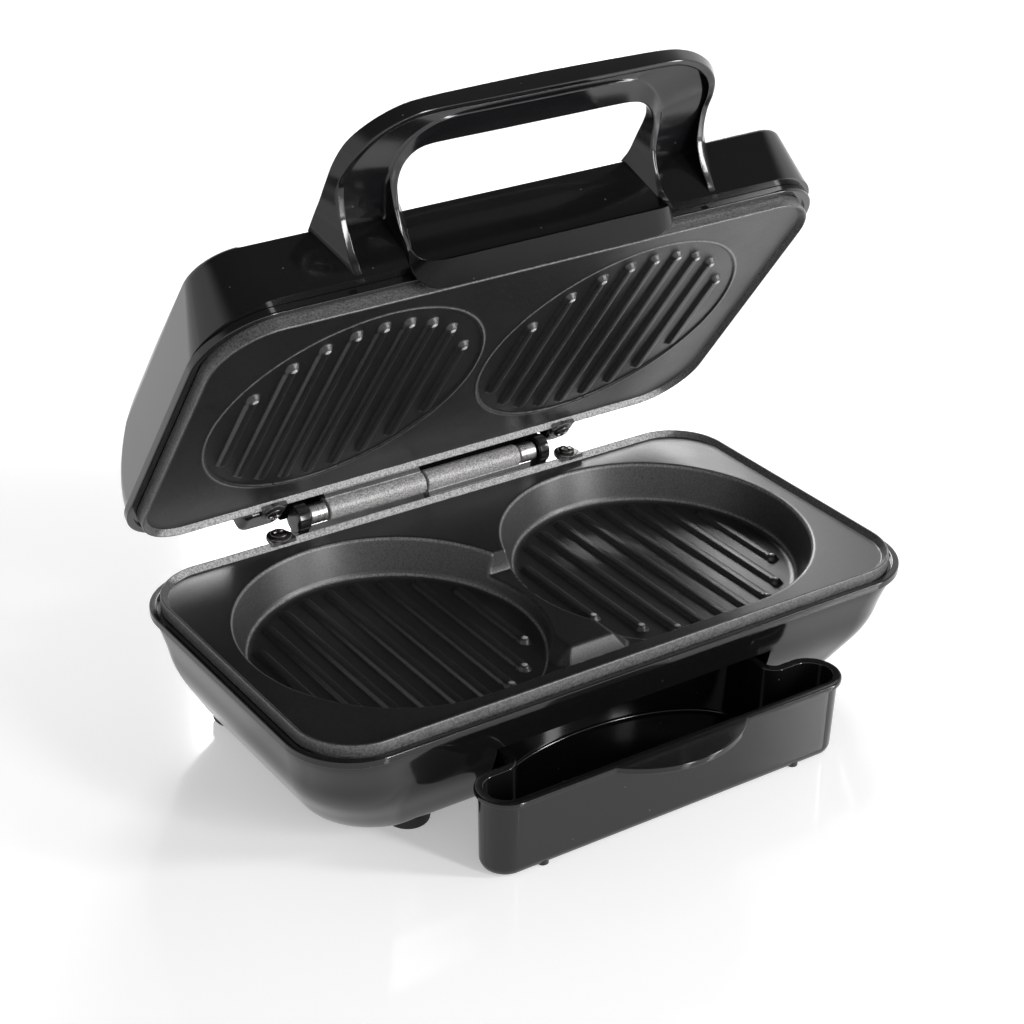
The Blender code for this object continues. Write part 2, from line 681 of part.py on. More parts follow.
def make_plate_screws(finish, lid):
    for side, word in ((-1, "left"), (1, "right")):
        make_screw(f"lower_plate_screw_{word}", side * EAR_SPACING, EAR_SETBACK, PLATE_HEIGHT + EAR_TOP, 1, finish)
        make_screw(f"upper_plate_screw_{word}", side * EAR_SPACING, EAR_SETBACK - HINGE_SETBACK,
                   LID_FACE - EAR_TOP, -1, finish, lid)


def housing_levels():
    """Outer and inner sections of the base wall, from the floor up and down again."""
    def plan(inset_x, inset_front, inset_back, drop):
        return level(rounded_plan(RIM_HALF_WIDTH - inset_x, RIM_FRONT - inset_front, RIM_BACK - inset_back,
                                  RIM_CORNER), PLATE_HEIGHT - drop)

    span = HOUSING_DEPTH - WALL_TOP_DEPTH
    outer, inner = [], []
    for depth_share, inset_share in WALL_INSET_SHARES:
        drop = WALL_TOP_DEPTH + span * depth_share
        side = WALL_TOP_INSET + SIDE_TAPER * inset_share
        front = WALL_TOP_INSET + (FRONT_TAPER - WALL_TOP_INSET) * inset_share
        back = WALL_TOP_INSET + BACK_TAPER * inset_share
        outer.append(plan(side, front, back, drop))
        inner.append(plan(side + WALL_THICKNESS, front + WALL_THICKNESS, back + WALL_THICKNESS, drop))
    outer.reverse()
    band = [
        plan(RIM_STEP, RIM_STEP, RIM_STEP, RIM_DROP + RIM_BAND),
        plan(0, 0, 0, RIM_DROP + RIM_BAND - RIM_STEP / 2),
        plan(0, 0, 0, RIM_DROP + RIM_STEP / 2),
        plan(RIM_STEP / 2, RIM_STEP / 2, RIM_STEP / 2, RIM_DROP),
        plan(RIM_WALL, RIM_WALL, RIM_WALL, RIM_DROP),
        plan(RIM_WALL, RIM_WALL, RIM_WALL, PLATE_THICKNESS + CLEARANCE),
        plan(RIM_WALL + LEDGE_WIDTH, RIM_WALL + LEDGE_WIDTH, RIM_WALL + LEDGE_WIDTH, PLATE_THICKNESS + CLEARANCE),
    ]
    return outer + band + inner


def make_base_housing(finish):
    housing = place("base_housing", loft_mesh(housing_levels(), ring=True), finish["gloss"])
    cut(housing, block(-TRAY_OPENING_HALF_WIDTH, TRAY_OPENING_HALF_WIDTH, -RIM_FRONT - OVERRUN, -FOOT_FRONT_SETBACK,
                       TABLE, PLATE_HEIGHT - TRAY_OPENING_TOP))
    cut(housing, block(-HINGE_BAY_HALF_WIDTH, HINGE_BAY_HALF_WIDTH, PLATE_BACK - LEDGE_WIDTH - OVERRUN,
                       RIM_BACK + OVERRUN, PLATE_HEIGHT - HINGE_BAY_DEPTH, PLATE_HEIGHT + OVERRUN))
    radius = GLAND_RADIUS + CLEARANCE
    cut(housing, turned_y(((radius, FOOT_BACK_SETBACK), (radius, RIM_BACK + OVERRUN)), ROUND_STEPS,
                          GLAND_SPACING, PLATE_HEIGHT - GLAND_DROP))
    return housing


def bay_outline(inset):
    """Plan of the tray bay: straight sides in front, half an ellipse behind."""
    half = TRAY_NECK_HALF_WIDTH + BAY_CLEARANCE - inset
    depth = TRAY_REAR_DEPTH + BAY_CLEARANCE - inset
    return half, depth


def bay_points(inset, front):
    half, depth = bay_outline(inset)
    points = [(-half, -front), (half, -front)]
    steps = TRAY_ARC_STEPS * 2
    for step in range(steps + 1):
        angle = math.pi * step / steps
        points.append((half * math.cos(angle), -TRAY_REAR_START + depth * math.sin(angle)))
    return points


def make_bottom_cover(finish):
    """Flat floor inside the base wall, with the moulded bay that takes the tray."""
    low = PLATE_HEIGHT - HOUSING_DEPTH
    inset = WALL_TOP_INSET + WALL_THICKNESS + CLEARANCE
    outline = rounded_plan(RIM_HALF_WIDTH - SIDE_TAPER - inset, RIM_FRONT - FRONT_TAPER - WALL_THICKNESS - CLEARANCE,
                           RIM_BACK - BACK_TAPER - inset, RIM_CORNER)
    cover = place("bottom_cover", prism_z(outline, low, low + COVER_THICKNESS), finish["satin"])
    roof = PLATE_HEIGHT - PAN_DEPTH - CLEARANCE * 2
    join(cover, prism_z(bay_points(-BAY_WALL, BAY_FRONT_HIGH), low + COVER_THICKNESS / 2, roof))
    slant = ((-RIM_FRONT, low - OVERRUN), (-BAY_FRONT_LOW, low - OVERRUN), (-BAY_FRONT_LOW, low + COVER_THICKNESS),
             (-BAY_FRONT_HIGH, roof + CLEARANCE), (-RIM_FRONT, roof + CLEARANCE))
    cut(cover, prism_x(slant, -RIM_HALF_WIDTH, RIM_HALF_WIDTH))
    cut(cover, prism_z(bay_points(0, RIM_FRONT), low - OVERRUN, roof - BAY_ROOF))
    hole = ((SPOUT_HOLE_RADIUS, roof - BAY_ROOF - OVERRUN), (SPOUT_HOLE_RADIUS, roof + OVERRUN))
    cut(cover, turned(hole, ROUND_STEPS, (0, -DRAIN_SETBACK)))
    vents = bmesh.new()
    for side in (-1, 1):
        for index in range(VENT_COUNT):
            x = side * VENT_SPACING + (index - (VENT_COUNT - 1) / 2) * VENT_PITCH
            add_mesh(vents, block(x - VENT_WIDTH / 2, x + VENT_WIDTH / 2, VENT_OFFSET - VENT_LENGTH / 2,
                                  VENT_OFFSET + VENT_LENGTH / 2, low - OVERRUN, low + COVER_THICKNESS + OVERRUN))
    cut(cover, vents)
    holes = bmesh.new()
    for x, y in cover_screw_places():
        add_mesh(holes, screw_hole(x, y, low))
    cut(cover, holes)
    return cover


def cover_screw_places():
    return [(side * COVER_SCREW_SPACING, y) for side in (-1, 1) for y in (-COVER_SCREW_FRONT, COVER_SCREW_BACK)]


def make_cover_screws(finish):
    words = ("front_left", "back_left", "front_right", "back_right")
    for word, (x, y) in zip(words, cover_screw_places()):
        make_screw(f"cover_screw_{word}", x, y, PLATE_HEIGHT - HOUSING_DEPTH, -1, finish)


def make_feet(finish):
    top = PLATE_HEIGHT - HOUSING_DEPTH - CLEARANCE
    toe = FOOT_RADIUS * FOOT_TOE_SHARE
    edge = (FOOT_RADIUS - toe) / 2
    profile = ((FOOT_RADIUS, top), (FOOT_RADIUS - edge, edge * 2), (toe, edge / 2), (toe - edge, 0))
    places = {
        "foot_front_left": (-FOOT_FRONT_SPACING, -FOOT_FRONT_SETBACK),
        "foot_front_right": (FOOT_FRONT_SPACING, -FOOT_FRONT_SETBACK),
        "foot_back_left": (-FOOT_BACK_SPACING, FOOT_BACK_SETBACK),
        "foot_back_right": (FOOT_BACK_SPACING, FOOT_BACK_SETBACK),
    }
    for name, centre in places.items():
        place(name, turned(profile, ROUND_STEPS, centre), finish["rubber"])


def make_hinge(finish):
    start = BARREL_SPLIT_OFFSET - BARREL_SPLIT / 2 - BARREL_LENGTH
    end = BARREL_SPLIT_OFFSET + BARREL_SPLIT / 2 + BARREL_LENGTH
    bore = PIN_RADIUS + CLEARANCE
    left = (start - SLEEVE_GAP - SLEEVE_LENGTH, start - SLEEVE_GAP)
    right = (end + SLEEVE_GAP, end + SLEEVE_GAP + SLEEVE_LENGTH)
    for word, (low, high) in (("left", left), ("right", right)):
        chamfer = SLEEVE_GAP
        sleeve = turned_x(((SLEEVE_RADIUS - chamfer, low), (SLEEVE_RADIUS, low + chamfer),
                           (SLEEVE_RADIUS, high - chamfer), (SLEEVE_RADIUS - chamfer, high)),
                          ROUND_STEPS, HINGE_SETBACK, HINGE_Z)
        piece = place(f"hinge_sleeve_{word}", sleeve, finish["steel"])
        cut(piece, turned_x(((bore, low - OVERRUN), (bore, high + OVERRUN)), SMALL_STEPS, HINGE_SETBACK, HINGE_Z))
    cheek_left = (left[0] - SLEEVE_GAP - CHEEK_LENGTH, left[0] - SLEEVE_GAP)
    cheek_right = (right[1] + SLEEVE_GAP, right[1] + SLEEVE_GAP + CHEEK_LENGTH)
    for word, (low, high) in (("left", cheek_left), ("right", cheek_right)):
        make_cheek(f"hinge_cheek_{word}", low, high, finish)
    pin = turned_x(((PIN_RADIUS, cheek_left[0]), (PIN_RADIUS, cheek_right[1])), SMALL_STEPS, HINGE_SETBACK, HINGE_Z)
    place("hinge_pin", pin, finish["steel"])


def make_cheek(name, low, high, finish):
    """Plastic cheek that stands in the base's hinge bay and holds one end of the pin."""
    cheek = place(name, turned_x(((CHEEK_RADIUS, low), (CHEEK_RADIUS, high)), ROUND_STEPS, HINGE_SETBACK, HINGE_Z),
                  finish["satin"])
    foot = PLATE_HEIGHT - PLATE_THICKNESS
    join(cheek, block(low, high, PLATE_BACK + CLEARANCE * 2, HINGE_SETBACK + PIN_RADIUS, foot, HINGE_Z))
    bore = PIN_RADIUS + CLEARANCE
    cut(cheek, turned_x(((bore, low - OVERRUN), (bore, high + OVERRUN)), SMALL_STEPS, HINGE_SETBACK, HINGE_Z))


def make_hinge_shelf(finish):
    """Ledge on the base's rear wall, below the hinge, that carries the two cheeks."""
    top = PLATE_HEIGHT - PLATE_THICKNESS - CLEARANCE
    seat = PLATE_HEIGHT - HINGE_BAY_DEPTH + CLEARANCE
    root = PLATE_BACK + CLEARANCE
    profile = ((root, seat), (root, top), (HINGE_SHELF_BACK, top), (HINGE_SHELF_BACK, top - HINGE_SHELF_LIP),
               (RIM_BACK, PLATE_HEIGHT - HINGE_SHELF_HEEL), (RIM_BACK, seat))
    half = HINGE_BAY_HALF_WIDTH - CLEARANCE
    place("hinge_shelf", prism_x(profile, -half, half), finish["satin"])


def make_hinge_cover(finish, lid):
    """Angled cover on the lid's rear edge that runs down behind the hinge barrels."""
    top = LID_FACE + LID_BAY_RISE - CLEARANCE
    under = top - HINGE_COVER_WALL
    low = LID_FACE - HINGE_COVER_DROP
    inner = HINGE_COVER_BACK - HINGE_COVER_WALL
    pairs = ((PLATE_BACK, top), (HINGE_COVER_BACK - HINGE_COVER_BEND, top), (HINGE_COVER_BACK, top - HINGE_COVER_BEND),
             (HINGE_COVER_BACK, low), (inner, low), (inner, under - HINGE_COVER_BEND + HINGE_COVER_WALL / 2),
             (inner - HINGE_COVER_BEND + HINGE_COVER_WALL / 2, under), (PLATE_BACK, under))
    profile = [(y - HINGE_SETBACK, z) for y, z in pairs]
    half = HINGE_BAY_HALF_WIDTH - CLEARANCE
    place("hinge_cover", prism_x(profile, -half, half), finish["satin"], lid)


def lid_back(height):
    """Distance of the lid's back from y = 0 at a height above the lid plate's surface."""
    if height <= LID_BACK_SPRING:
        return RIM_BACK - LID_SIDE_INSET
    share = min((height - LID_BACK_SPRING) / LID_BACK_RISE, 1.0)
    return LID_BACK_CENTRE + (RIM_BACK - LID_SIDE_INSET - LID_BACK_CENTRE) * math.sqrt(1.0 - share ** 2)


def lid_sections():
    """From the crown down the outside to the rim, then up the inside to the inner roof."""
    def rim_plan(inset, height):
        return level(rounded_plan(RIM_HALF_WIDTH - inset, RIM_FRONT - inset, RIM_BACK - inset, RIM_CORNER),
                     LID_FACE + height)

    def wall_plan(share, wall):
        height = LID_WALL_FOOT + (LID_WALL_TOP - LID_WALL_FOOT) * share
        inset = LID_SIDE_INSET + LID_SIDE_TAPER * share + wall
        corner = LID_FOOT_CORNER + (LID_TOP_CORNER - LID_FOOT_CORNER) * share
        return level(rounded_plan(RIM_HALF_WIDTH - inset, LID_FRONT - wall, lid_back(height) - wall, corner - wall),
                     LID_FACE + height)

    crown = []
    for rise_share, side_inset, pull_share in LID_CROWN_SHARES:
        height = LID_WALL_TOP + (LID_CROWN - LID_WALL_TOP) * rise_share
        half = RIM_HALF_WIDTH - LID_SIDE_INSET - LID_SIDE_TAPER - RIM_HALF_WIDTH * side_inset
        crown.append(level(rounded_plan(half, LID_FRONT - LID_FRONT * pull_share, lid_back(height), LID_TOP_CORNER),
                           LID_FACE + height))
    crown.reverse()
    wall = [wall_plan(share, 0) for share in reversed(LID_LEVEL_SHARES)]
    wall.append(wall_plan(0, 0))
    rim = [
        rim_plan(RIM_STEP, LID_WALL_FOOT),
        rim_plan(0, LID_WALL_FOOT - RIM_STEP),
        rim_plan(0, LID_RIM_DROP + RIM_STEP / 2),
        rim_plan(RIM_STEP / 2, LID_RIM_DROP),
        rim_plan(RIM_WALL, LID_RIM_DROP),
        rim_plan(RIM_WALL, PLATE_THICKNESS + CLEARANCE),
        rim_plan(RIM_WALL + LEDGE_WIDTH, PLATE_THICKNESS + CLEARANCE),
        rim_plan(RIM_WALL + LEDGE_WIDTH, PLATE_THICKNESS + CLEARANCE + LID_LEDGE),
    ]
    inside = [wall_plan(share, LID_WALL) for share in LID_LEVEL_SHARES[:-1]]
    return crown + wall + rim + inside


def make_lid_housing(finish, lid):
    mesh = shift_mesh(loft_mesh(lid_sections()), Vector((0, -HINGE_SETBACK, 0)))
    housing = place("lid_housing", mesh, finish["gloss"], lid)
    cut(housing, block(-HINGE_BAY_HALF_WIDTH, HINGE_BAY_HALF_WIDTH, PLATE_BACK - LEDGE_WIDTH - OVERRUN - HINGE_SETBACK,
                       RIM_BACK + OVERRUN - HINGE_SETBACK, 0, LID_FACE + LID_BAY_RISE))
    for side in (-1, 1):
        hole = ((LAMP_RADIUS + CLEARANCE, LID_FACE + LID_WALL_TOP - OVERRUN * 2),
                (LAMP_RADIUS + CLEARANCE, LID_FACE + LID_CROWN + OVERRUN))
        cut(housing, turned(hole, ROUND_STEPS, (side * LAMP_SPACING, -LAMP_SETBACK - HINGE_SETBACK)))
    return housing


def make_lamps(finish, lid):
    top = LID_FACE + LID_WALL_TOP + LAMP_PROUD * 2
    profile = ((LAMP_RADIUS, top - LAMP_LENGTH), (LAMP_RADIUS, top - LAMP_PROUD / 2), (LAMP_RADIUS * 0.8, top),
               (LAMP_RADIUS * 0.4, top + LAMP_PROUD / 2))
    for side, name, lens in ((-1, "power_lamp", "red_lens"), (1, "ready_lamp", "green_lens")):
        place(name, turned(profile, ROUND_STEPS, (side * LAMP_SPACING, -LAMP_SETBACK - HINGE_SETBACK)),
              finish[lens], lid)


def lip_height(reach, slope_rise, span):
    """Height of the handle's lower edge, at a distance from its base plane."""
    if reach < HANDLE_FILLET_DEPTH:
        share = 1.0 - reach / HANDLE_FILLET_DEPTH
        return HANDLE_FOOT_HEIGHT + HANDLE_FILLET_HEIGHT * math.sqrt(max(1.0 - share ** 2, 0))
    return HANDLE_FOOT_HEIGHT + HANDLE_FILLET_HEIGHT + slope_rise * (reach - HANDLE_FILLET_DEPTH) / span


def outer_lip_height(reach):
    return lip_height(reach, HANDLE_LIP_RISE, HANDLE_REACH - HANDLE_FILLET_DEPTH)


def inner_lip_height(reach):
    return lip_height(reach, HANDLE_UNDER_SLOPE_SHARE, 1.0)


def roof_height(reach):
    return LID_WALL_TOP + HANDLE_TOP_RISE * reach / (HANDLE_REACH - HANDLE_TOP_BACKSET)


def ring_path(foot_half, half, reach, corner):
    """Right half of one edge of the ring, seen from above, from the lid to the bar's middle."""
    straight = reach - corner
    points = []
    for step in range(LEG_STEPS):
        share = step / LEG_STEPS
        points.append((foot_half + (half - foot_half) * share, straight * share ** 1.5))
    for step in range(BEND_STEPS + 1):
        angle = math.pi / 2 * step / BEND_STEPS
        points.append((half - corner + corner * math.cos(angle), straight + corner * math.sin(angle)))
    return points


def handle_sections():
    """Eight-cornered channel sections round the ring, outer lip first."""
    lip = ring_path(HANDLE_LIP_FOOT_HALF_WIDTH, HANDLE_LIP_HALF_WIDTH, HANDLE_REACH, HANDLE_CORNER)
    top = ring_path(HANDLE_ROOT_HALF_WIDTH, HANDLE_TOP_HALF_WIDTH, HANDLE_REACH - HANDLE_TOP_BACKSET, HANDLE_CORNER)
    inner_top = ring_path(OPENING_TOP_HALF_WIDTH, OPENING_TOP_HALF_WIDTH, OPENING_REACH, OPENING_CORNER)
    inner_lip = ring_path(OPENING_HALF_WIDTH, OPENING_HALF_WIDTH, OPENING_REACH, OPENING_CORNER)
    wall = HANDLE_LIP_WALL
    channel_lip = ring_path(HANDLE_LIP_FOOT_HALF_WIDTH - wall, HANDLE_LIP_HALF_WIDTH - wall,
                            HANDLE_REACH - wall, HANDLE_CORNER - wall)
    channel_top = ring_path(HANDLE_ROOT_HALF_WIDTH - wall, HANDLE_TOP_HALF_WIDTH - wall,
                            HANDLE_REACH - HANDLE_TOP_BACKSET - wall, HANDLE_CORNER - wall)
    thin = HANDLE_INNER_WALL
    rim = ring_path(OPENING_HALF_WIDTH + thin, OPENING_HALF_WIDTH + thin, OPENING_REACH + HANDLE_INNER_BAR,
                    OPENING_CORNER + thin)
    rows = []
    for index in range(len(lip)):
        heights = (
            (lip[index], outer_lip_height(lip[index][1])),
            (top[index], roof_height(top[index][1])),
            (inner_top[index], roof_height(inner_top[index][1])),
            (inner_lip[index], inner_lip_height(inner_lip[index][1])),
            (rim[index], inner_lip_height(rim[index][1])),
            (rim[index], roof_height(rim[index][1]) - HANDLE_ROOF),
            (channel_top[index], roof_height(channel_top[index][1]) - HANDLE_ROOF),
            (channel_lip[index], outer_lip_height(channel_lip[index][1])),
        )
        rows.append([Vector((x, -HANDLE_BASE - reach - HINGE_SETBACK, LID_FACE + height))
                     for (x, reach), height in heights])
    mirrored = [[Vector((-point.x, point.y, point.z)) for point in row] for row in reversed(rows)]
    return rows + mirrored


def strip_profile():
    """Wedge below the finger gap that laps in front of the rims of the lid's housing and plate."""
    rim = RIM_FRONT + HANDLE_GAP
    pairs = ((HANDLE_BASE + STRIP_REACH, STRIP_TOP), (rim + CLEARANCE, -STRIP_DROP),
             (rim + CLEARANCE - STRIP_TOE, -STRIP_DROP), (rim, -STRIP_HEEL), (rim, STRIP_TOP - CLEARANCE),
             (HANDLE_BASE, STRIP_TOP + STRIP_TOE), (HANDLE_BASE, STRIP_ROOT_TOP))
    return [(-distance - HINGE_SETBACK, LID_FACE + height) for distance, height in pairs]


def upright_profile():
    """Side outline of the short posts that tie the strip's ends into the legs."""
    front = HANDLE_BASE + STRIP_REACH / 2
    pairs = ((front, STRIP_TOP + CLEARANCE), (HANDLE_BASE + CLEARANCE, STRIP_TOP + STRIP_TOE),
             (HANDLE_BASE + CLEARANCE, HANDLE_FOOT_HEIGHT * 4), (front, HANDLE_FOOT_HEIGHT * 3))
    return [(-distance - HINGE_SETBACK, LID_FACE + height) for distance, height in pairs]


def make_handle(finish, lid):
    handle = place("handle", loft_mesh(handle_sections()), finish["satin"], lid)
    join(handle, prism_x(strip_profile(), -STRIP_HALF_WIDTH, STRIP_HALF_WIDTH))
    for side in (-1, 1):
        edges = sorted((side * OPENING_HALF_WIDTH, side * STRIP_HALF_WIDTH))
        join(handle, prism_x(upright_profile(), *edges))
    return handle


def tray_outline(inset):
    """Plan of the drip tray: front bar with round lobes, neck, and a half-ellipse behind."""
    front = TRAY_FRONT - inset
    radius = TRAY_LOBE_RADIUS - inset
    lobe_y = -TRAY_FRONT + TRAY_LOBE_RADIUS
    neck = TRAY_NECK_HALF_WIDTH - inset
    fillet = TRAY_NECK_RADIUS + inset
    right = [(0.0, -front)]
    for step in range(TRAY_ARC_STEPS * 2 + 1):
        angle = -math.pi / 2 + math.pi * step / (TRAY_ARC_STEPS * 2)
        right.append((TRAY_LOBE_SPACING + radius * math.cos(angle), lobe_y + radius * math.sin(angle)))
    back_y = lobe_y + radius
    for step in range(1, TRAY_ARC_STEPS // 2 + 1):
        angle = -math.pi / 2 - math.pi / 2 * step / (TRAY_ARC_STEPS // 2)
        right.append((neck + fillet + fillet * math.cos(angle), back_y + fillet + fillet * math.sin(angle)))
    depth = TRAY_REAR_DEPTH - inset
    for step in range(TRAY_ARC_STEPS + 1):
        angle = math.pi / 2 * step / TRAY_ARC_STEPS
        right.append((neck * math.cos(angle), -TRAY_REAR_START + depth * math.sin(angle)))
    left = [(-x, y) for x, y in reversed(right[1:-1])]
    return right + left


def make_tray(finish):
    rim = PLATE_HEIGHT - TRAY_RIM_DEPTH
    floor = PLATE_HEIGHT - TRAY_FLOOR_DEPTH
    lip = TRAY_RIM_WIDTH - TRAY_WALL
    sections = [
        level(tray_outline(lip + TRAY_DRAFT), floor),
        level(tray_outline(lip + TRAY_DRAFT / 2), floor + TRAY_DRAFT),
        level(tray_outline(lip), rim - TRAY_RIM_HEIGHT),
        level(tray_outline(0), rim - TRAY_RIM_HEIGHT + lip / 4),
        level(tray_outline(0), rim),
        level(tray_outline(TRAY_RIM_WIDTH), rim),
        level(tray_outline(TRAY_RIM_WIDTH + TRAY_DRAFT), floor + TRAY_WALL),
    ]
    tray = place("drip_tray", loft_mesh(sections), finish["gloss"])
    join(tray, tray_lip(rim))
    feet = bmesh.new()
    places = [(side * TRAY_FOOT_SPACING, -TRAY_FOOT_SETBACK) for side in (-1, 1)]
    places += [(side * TRAY_REAR_FOOT_SPACING, -TRAY_REAR_FOOT_SETBACK) for side in (-1, 1)]
    for centre in places:
        add_mesh(feet, turned(((TRAY_FOOT_RADIUS, 0), (TRAY_FOOT_RADIUS, floor + TRAY_WALL / 2)), SMALL_STEPS, centre))
    join(tray, feet)
    return tray


def tray_lip(rim):
    """Crescent finger grip in front of the rim."""
    half, reach = TRAY_LIP_HALF_WIDTH, TRAY_LIP_REACH
    radius = (half ** 2 + reach ** 2) / (2 * reach)
    centre = -TRAY_FRONT - reach + radius
    swing = math.asin(half / radius)
    points = []
    for step in range(LIP_ARC_STEPS + 1):
        angle = -math.pi / 2 - swing + 2 * swing * step / LIP_ARC_STEPS
        points.append((radius * math.cos(angle), centre + radius * math.sin(angle)))
    points.append((half, -TRAY_FRONT + TRAY_WALL))
    points.append((-half, -TRAY_FRONT + TRAY_WALL))
    return prism_z(points, rim - TRAY_LIP_THICKNESS, rim - CLEARANCE)


def heater_path(half_length, half_depth, centre_y, z):
    """Stadium loop, open at the back where the two tails leave."""
    points = []
    start = [(HEATER_TAIL_GAP, half_depth)]
    arc = []
    for step in range(TRAY_ARC_STEPS + 1):
        angle = math.pi / 2 - math.pi * step / TRAY_ARC_STEPS
        arc.append((half_length - half_depth + half_depth * math.cos(angle), half_depth * math.sin(angle)))
    right = start + arc
    left = [(-x, y) for x, y in reversed(right)]
    for x, y in right + left:
        points.append(Vector((x, centre_y + y, z)))
    return points


def tube_mesh(path, radius, steps):
    """Round tube along a path that lies flat, with flat ends."""
    sections = []
    for index, point in enumerate(path):
        before, after = path[max(index - 1, 0)], path[min(index + 1, len(path) - 1)]
        along = (after - before).normalized()
        side = along.cross(Vector((0, 0, 1))).normalized()
        section = []
        for step in range(steps):
            angle = math.tau * step / steps
            section.append(point + side * radius * math.cos(angle) + Vector((0, 0, radius * math.sin(angle))))
        sections.append(section)
    return loft_mesh(sections)


def make_heaters(finish, lid):
    z = PLATE_HEIGHT - PAN_DEPTH - CLEARANCE - HEATER_RADIUS
    lower = tube_mesh(heater_path(HEATER_HALF_LENGTH, HEATER_HALF_DEPTH, HEATER_OFFSET, z), HEATER_RADIUS, BUMP_STEPS)
    place("lower_heater", lower, finish["steel"])
    z = LID_FACE + PLATE_THICKNESS + CLEARANCE + HEATER_RADIUS
    upper = tube_mesh(heater_path(HEATER_HALF_LENGTH, UPPER_HEATER_HALF_DEPTH, UPPER_HEATER_OFFSET - HINGE_SETBACK, z),
                      HEATER_RADIUS, BUMP_STEPS)
    place("upper_heater", upper, finish["steel"], lid)


def make_thermostat(finish):
    top = PLATE_HEIGHT - PAN_DEPTH - CLEARANCE
    profile = ((THERMOSTAT_CAP_RADIUS, top - THERMOSTAT_HEIGHT - THERMOSTAT_CAP_HEIGHT),
               (THERMOSTAT_CAP_RADIUS, top - THERMOSTAT_HEIGHT), (THERMOSTAT_RADIUS, top - THERMOSTAT_HEIGHT),
               (THERMOSTAT_RADIUS, top))
    place("thermostat", turned(profile, ROUND_STEPS, (POCKET_SPACING, HEATER_OFFSET)), finish["ceramic"])


def make_terminal_block(finish):
    low = PLATE_HEIGHT - HOUSING_DEPTH + COVER_THICKNESS + CLEARANCE
    half = TERMINAL_LENGTH / 2
    terminal = place("terminal_block", block(-half, half, TERMINAL_SETBACK - TERMINAL_DEPTH / 2,
                                             TERMINAL_SETBACK + TERMINAL_DEPTH / 2, low, low + TERMINAL_HEIGHT),
                     finish["ceramic"])
    pits = bmesh.new()
    for index in range(TERMINAL_WAYS):
        x = (index - (TERMINAL_WAYS - 1) / 2) * TERMINAL_LENGTH / TERMINAL_WAYS
        pit = ((TERMINAL_SCREW_RADIUS, low + TERMINAL_HEIGHT - TERMINAL_SCREW_DEPTH),
               (TERMINAL_SCREW_RADIUS, low + TERMINAL_HEIGHT + OVERRUN))
        add_mesh(pits, turned(pit, SMALL_STEPS, (x, TERMINAL_SETBACK)))
    cut(terminal, pits)


def back_wall_distance(drop):
    """Distance of the base's back wall from y = 0, at a depth below the plate's surface."""
    share = (drop - WALL_TOP_DEPTH) / (HOUSING_DEPTH - WALL_TOP_DEPTH)
    for (low, inset_low), (high, inset_high) in zip(WALL_INSET_SHARES[:-1], WALL_INSET_SHARES[1:]):
        if low <= share <= high:
            inset = inset_low + (inset_high - inset_low) * (share - low) / (high - low)
            return RIM_BACK - WALL_TOP_INSET - BACK_TAPER * inset
    return RIM_BACK - WALL_TOP_INSET - BACK_TAPER


def make_cord_gland(finish):
    """Bushing in the back wall where the mains lead would leave."""
    wall = back_wall_distance(GLAND_DROP - GLAND_FLANGE_RADIUS)
    z = PLATE_HEIGHT - GLAND_DROP
    seat = wall + CLEARANCE
    profile = ((GLAND_RADIUS, seat - GLAND_LENGTH), (GLAND_RADIUS, seat), (GLAND_FLANGE_RADIUS, seat),
               (GLAND_FLANGE_RADIUS, seat + GLAND_FLANGE_LENGTH / 2),
               (GLAND_FLANGE_RADIUS * 0.8, seat + GLAND_FLANGE_LENGTH))
    gland = place("cord_gland", turned_y(profile, ROUND_STEPS, GLAND_SPACING, z), finish["satin"])
    bore = ((GLAND_BORE, seat - GLAND_LENGTH - OVERRUN), (GLAND_BORE, seat + GLAND_FLANGE_LENGTH + OVERRUN))
    cut(gland, turned_y(bore, SMALL_STEPS, GLAND_SPACING, z))


def make_lid_empty():
    lid = bpy.data.objects.new("lid_axis", None)
    lid.location = (0, HINGE_SETBACK, HINGE_Z)
    lid.rotation_euler = (-math.radians(LID_OPEN_DEGREES), 0, 0)
    bpy.context.scene.collection.objects.link(lid)
    return lid


def depth_shift():
    """How far back everything moves to bring the middle of its depth to y = 0."""
    angle = math.radians(LID_OPEN_DEGREES)
    back = max(HINGE_SETBACK + (point.y - HINGE_SETBACK) * math.cos(angle) + point.z * math.sin(angle)
               for section in lid_sections() for point in section)
    front = TRAY_FRONT + TRAY_LIP_REACH
    return (front - back) / 2


def centre_depth():
    shift = depth_shift()
    for piece in bpy.data.objects:
        if piece.parent is None:
            piece.location.y += shift


def main():
    clear_scene()
    finish = make_materials()
    lid = make_lid_empty()
    make_lower_plate(finish)
    make_upper_plate(finish, lid)
    make_plate_screws(finish, lid)
    make_hinge(finish)
    make_hinge_shelf(finish)
    make_hinge_cover(finish, lid)
    make_base_housing(finish)
    make_bottom_cover(finish)
    make_cover_screws(finish)
    make_feet(finish)
    make_cord_gland(finish)
    make_thermostat(finish)
    make_terminal_block(finish)
    make_heaters(finish, lid)
    make_lid_housing(finish, lid)
    make_lamps(finish, lid)
    make_handle(finish, lid)
    make_tray(finish)
    centre_depth()


main()
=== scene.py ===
"""Hamburger maker with its lid open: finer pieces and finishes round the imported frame.

Shapes are written in millimetres about the middle of the two pockets, with height 0 on
the cooking faces, and the two matrices below carry them to the frame's metres. The lid's
pieces are written for the closed lid, with heights counted away from the food side.
"""
import json
import math

import bmesh
import bpy
import numpy as np
from mathutils import Matrix, Vector
from mathutils.geometry import delaunay_2d_cdt


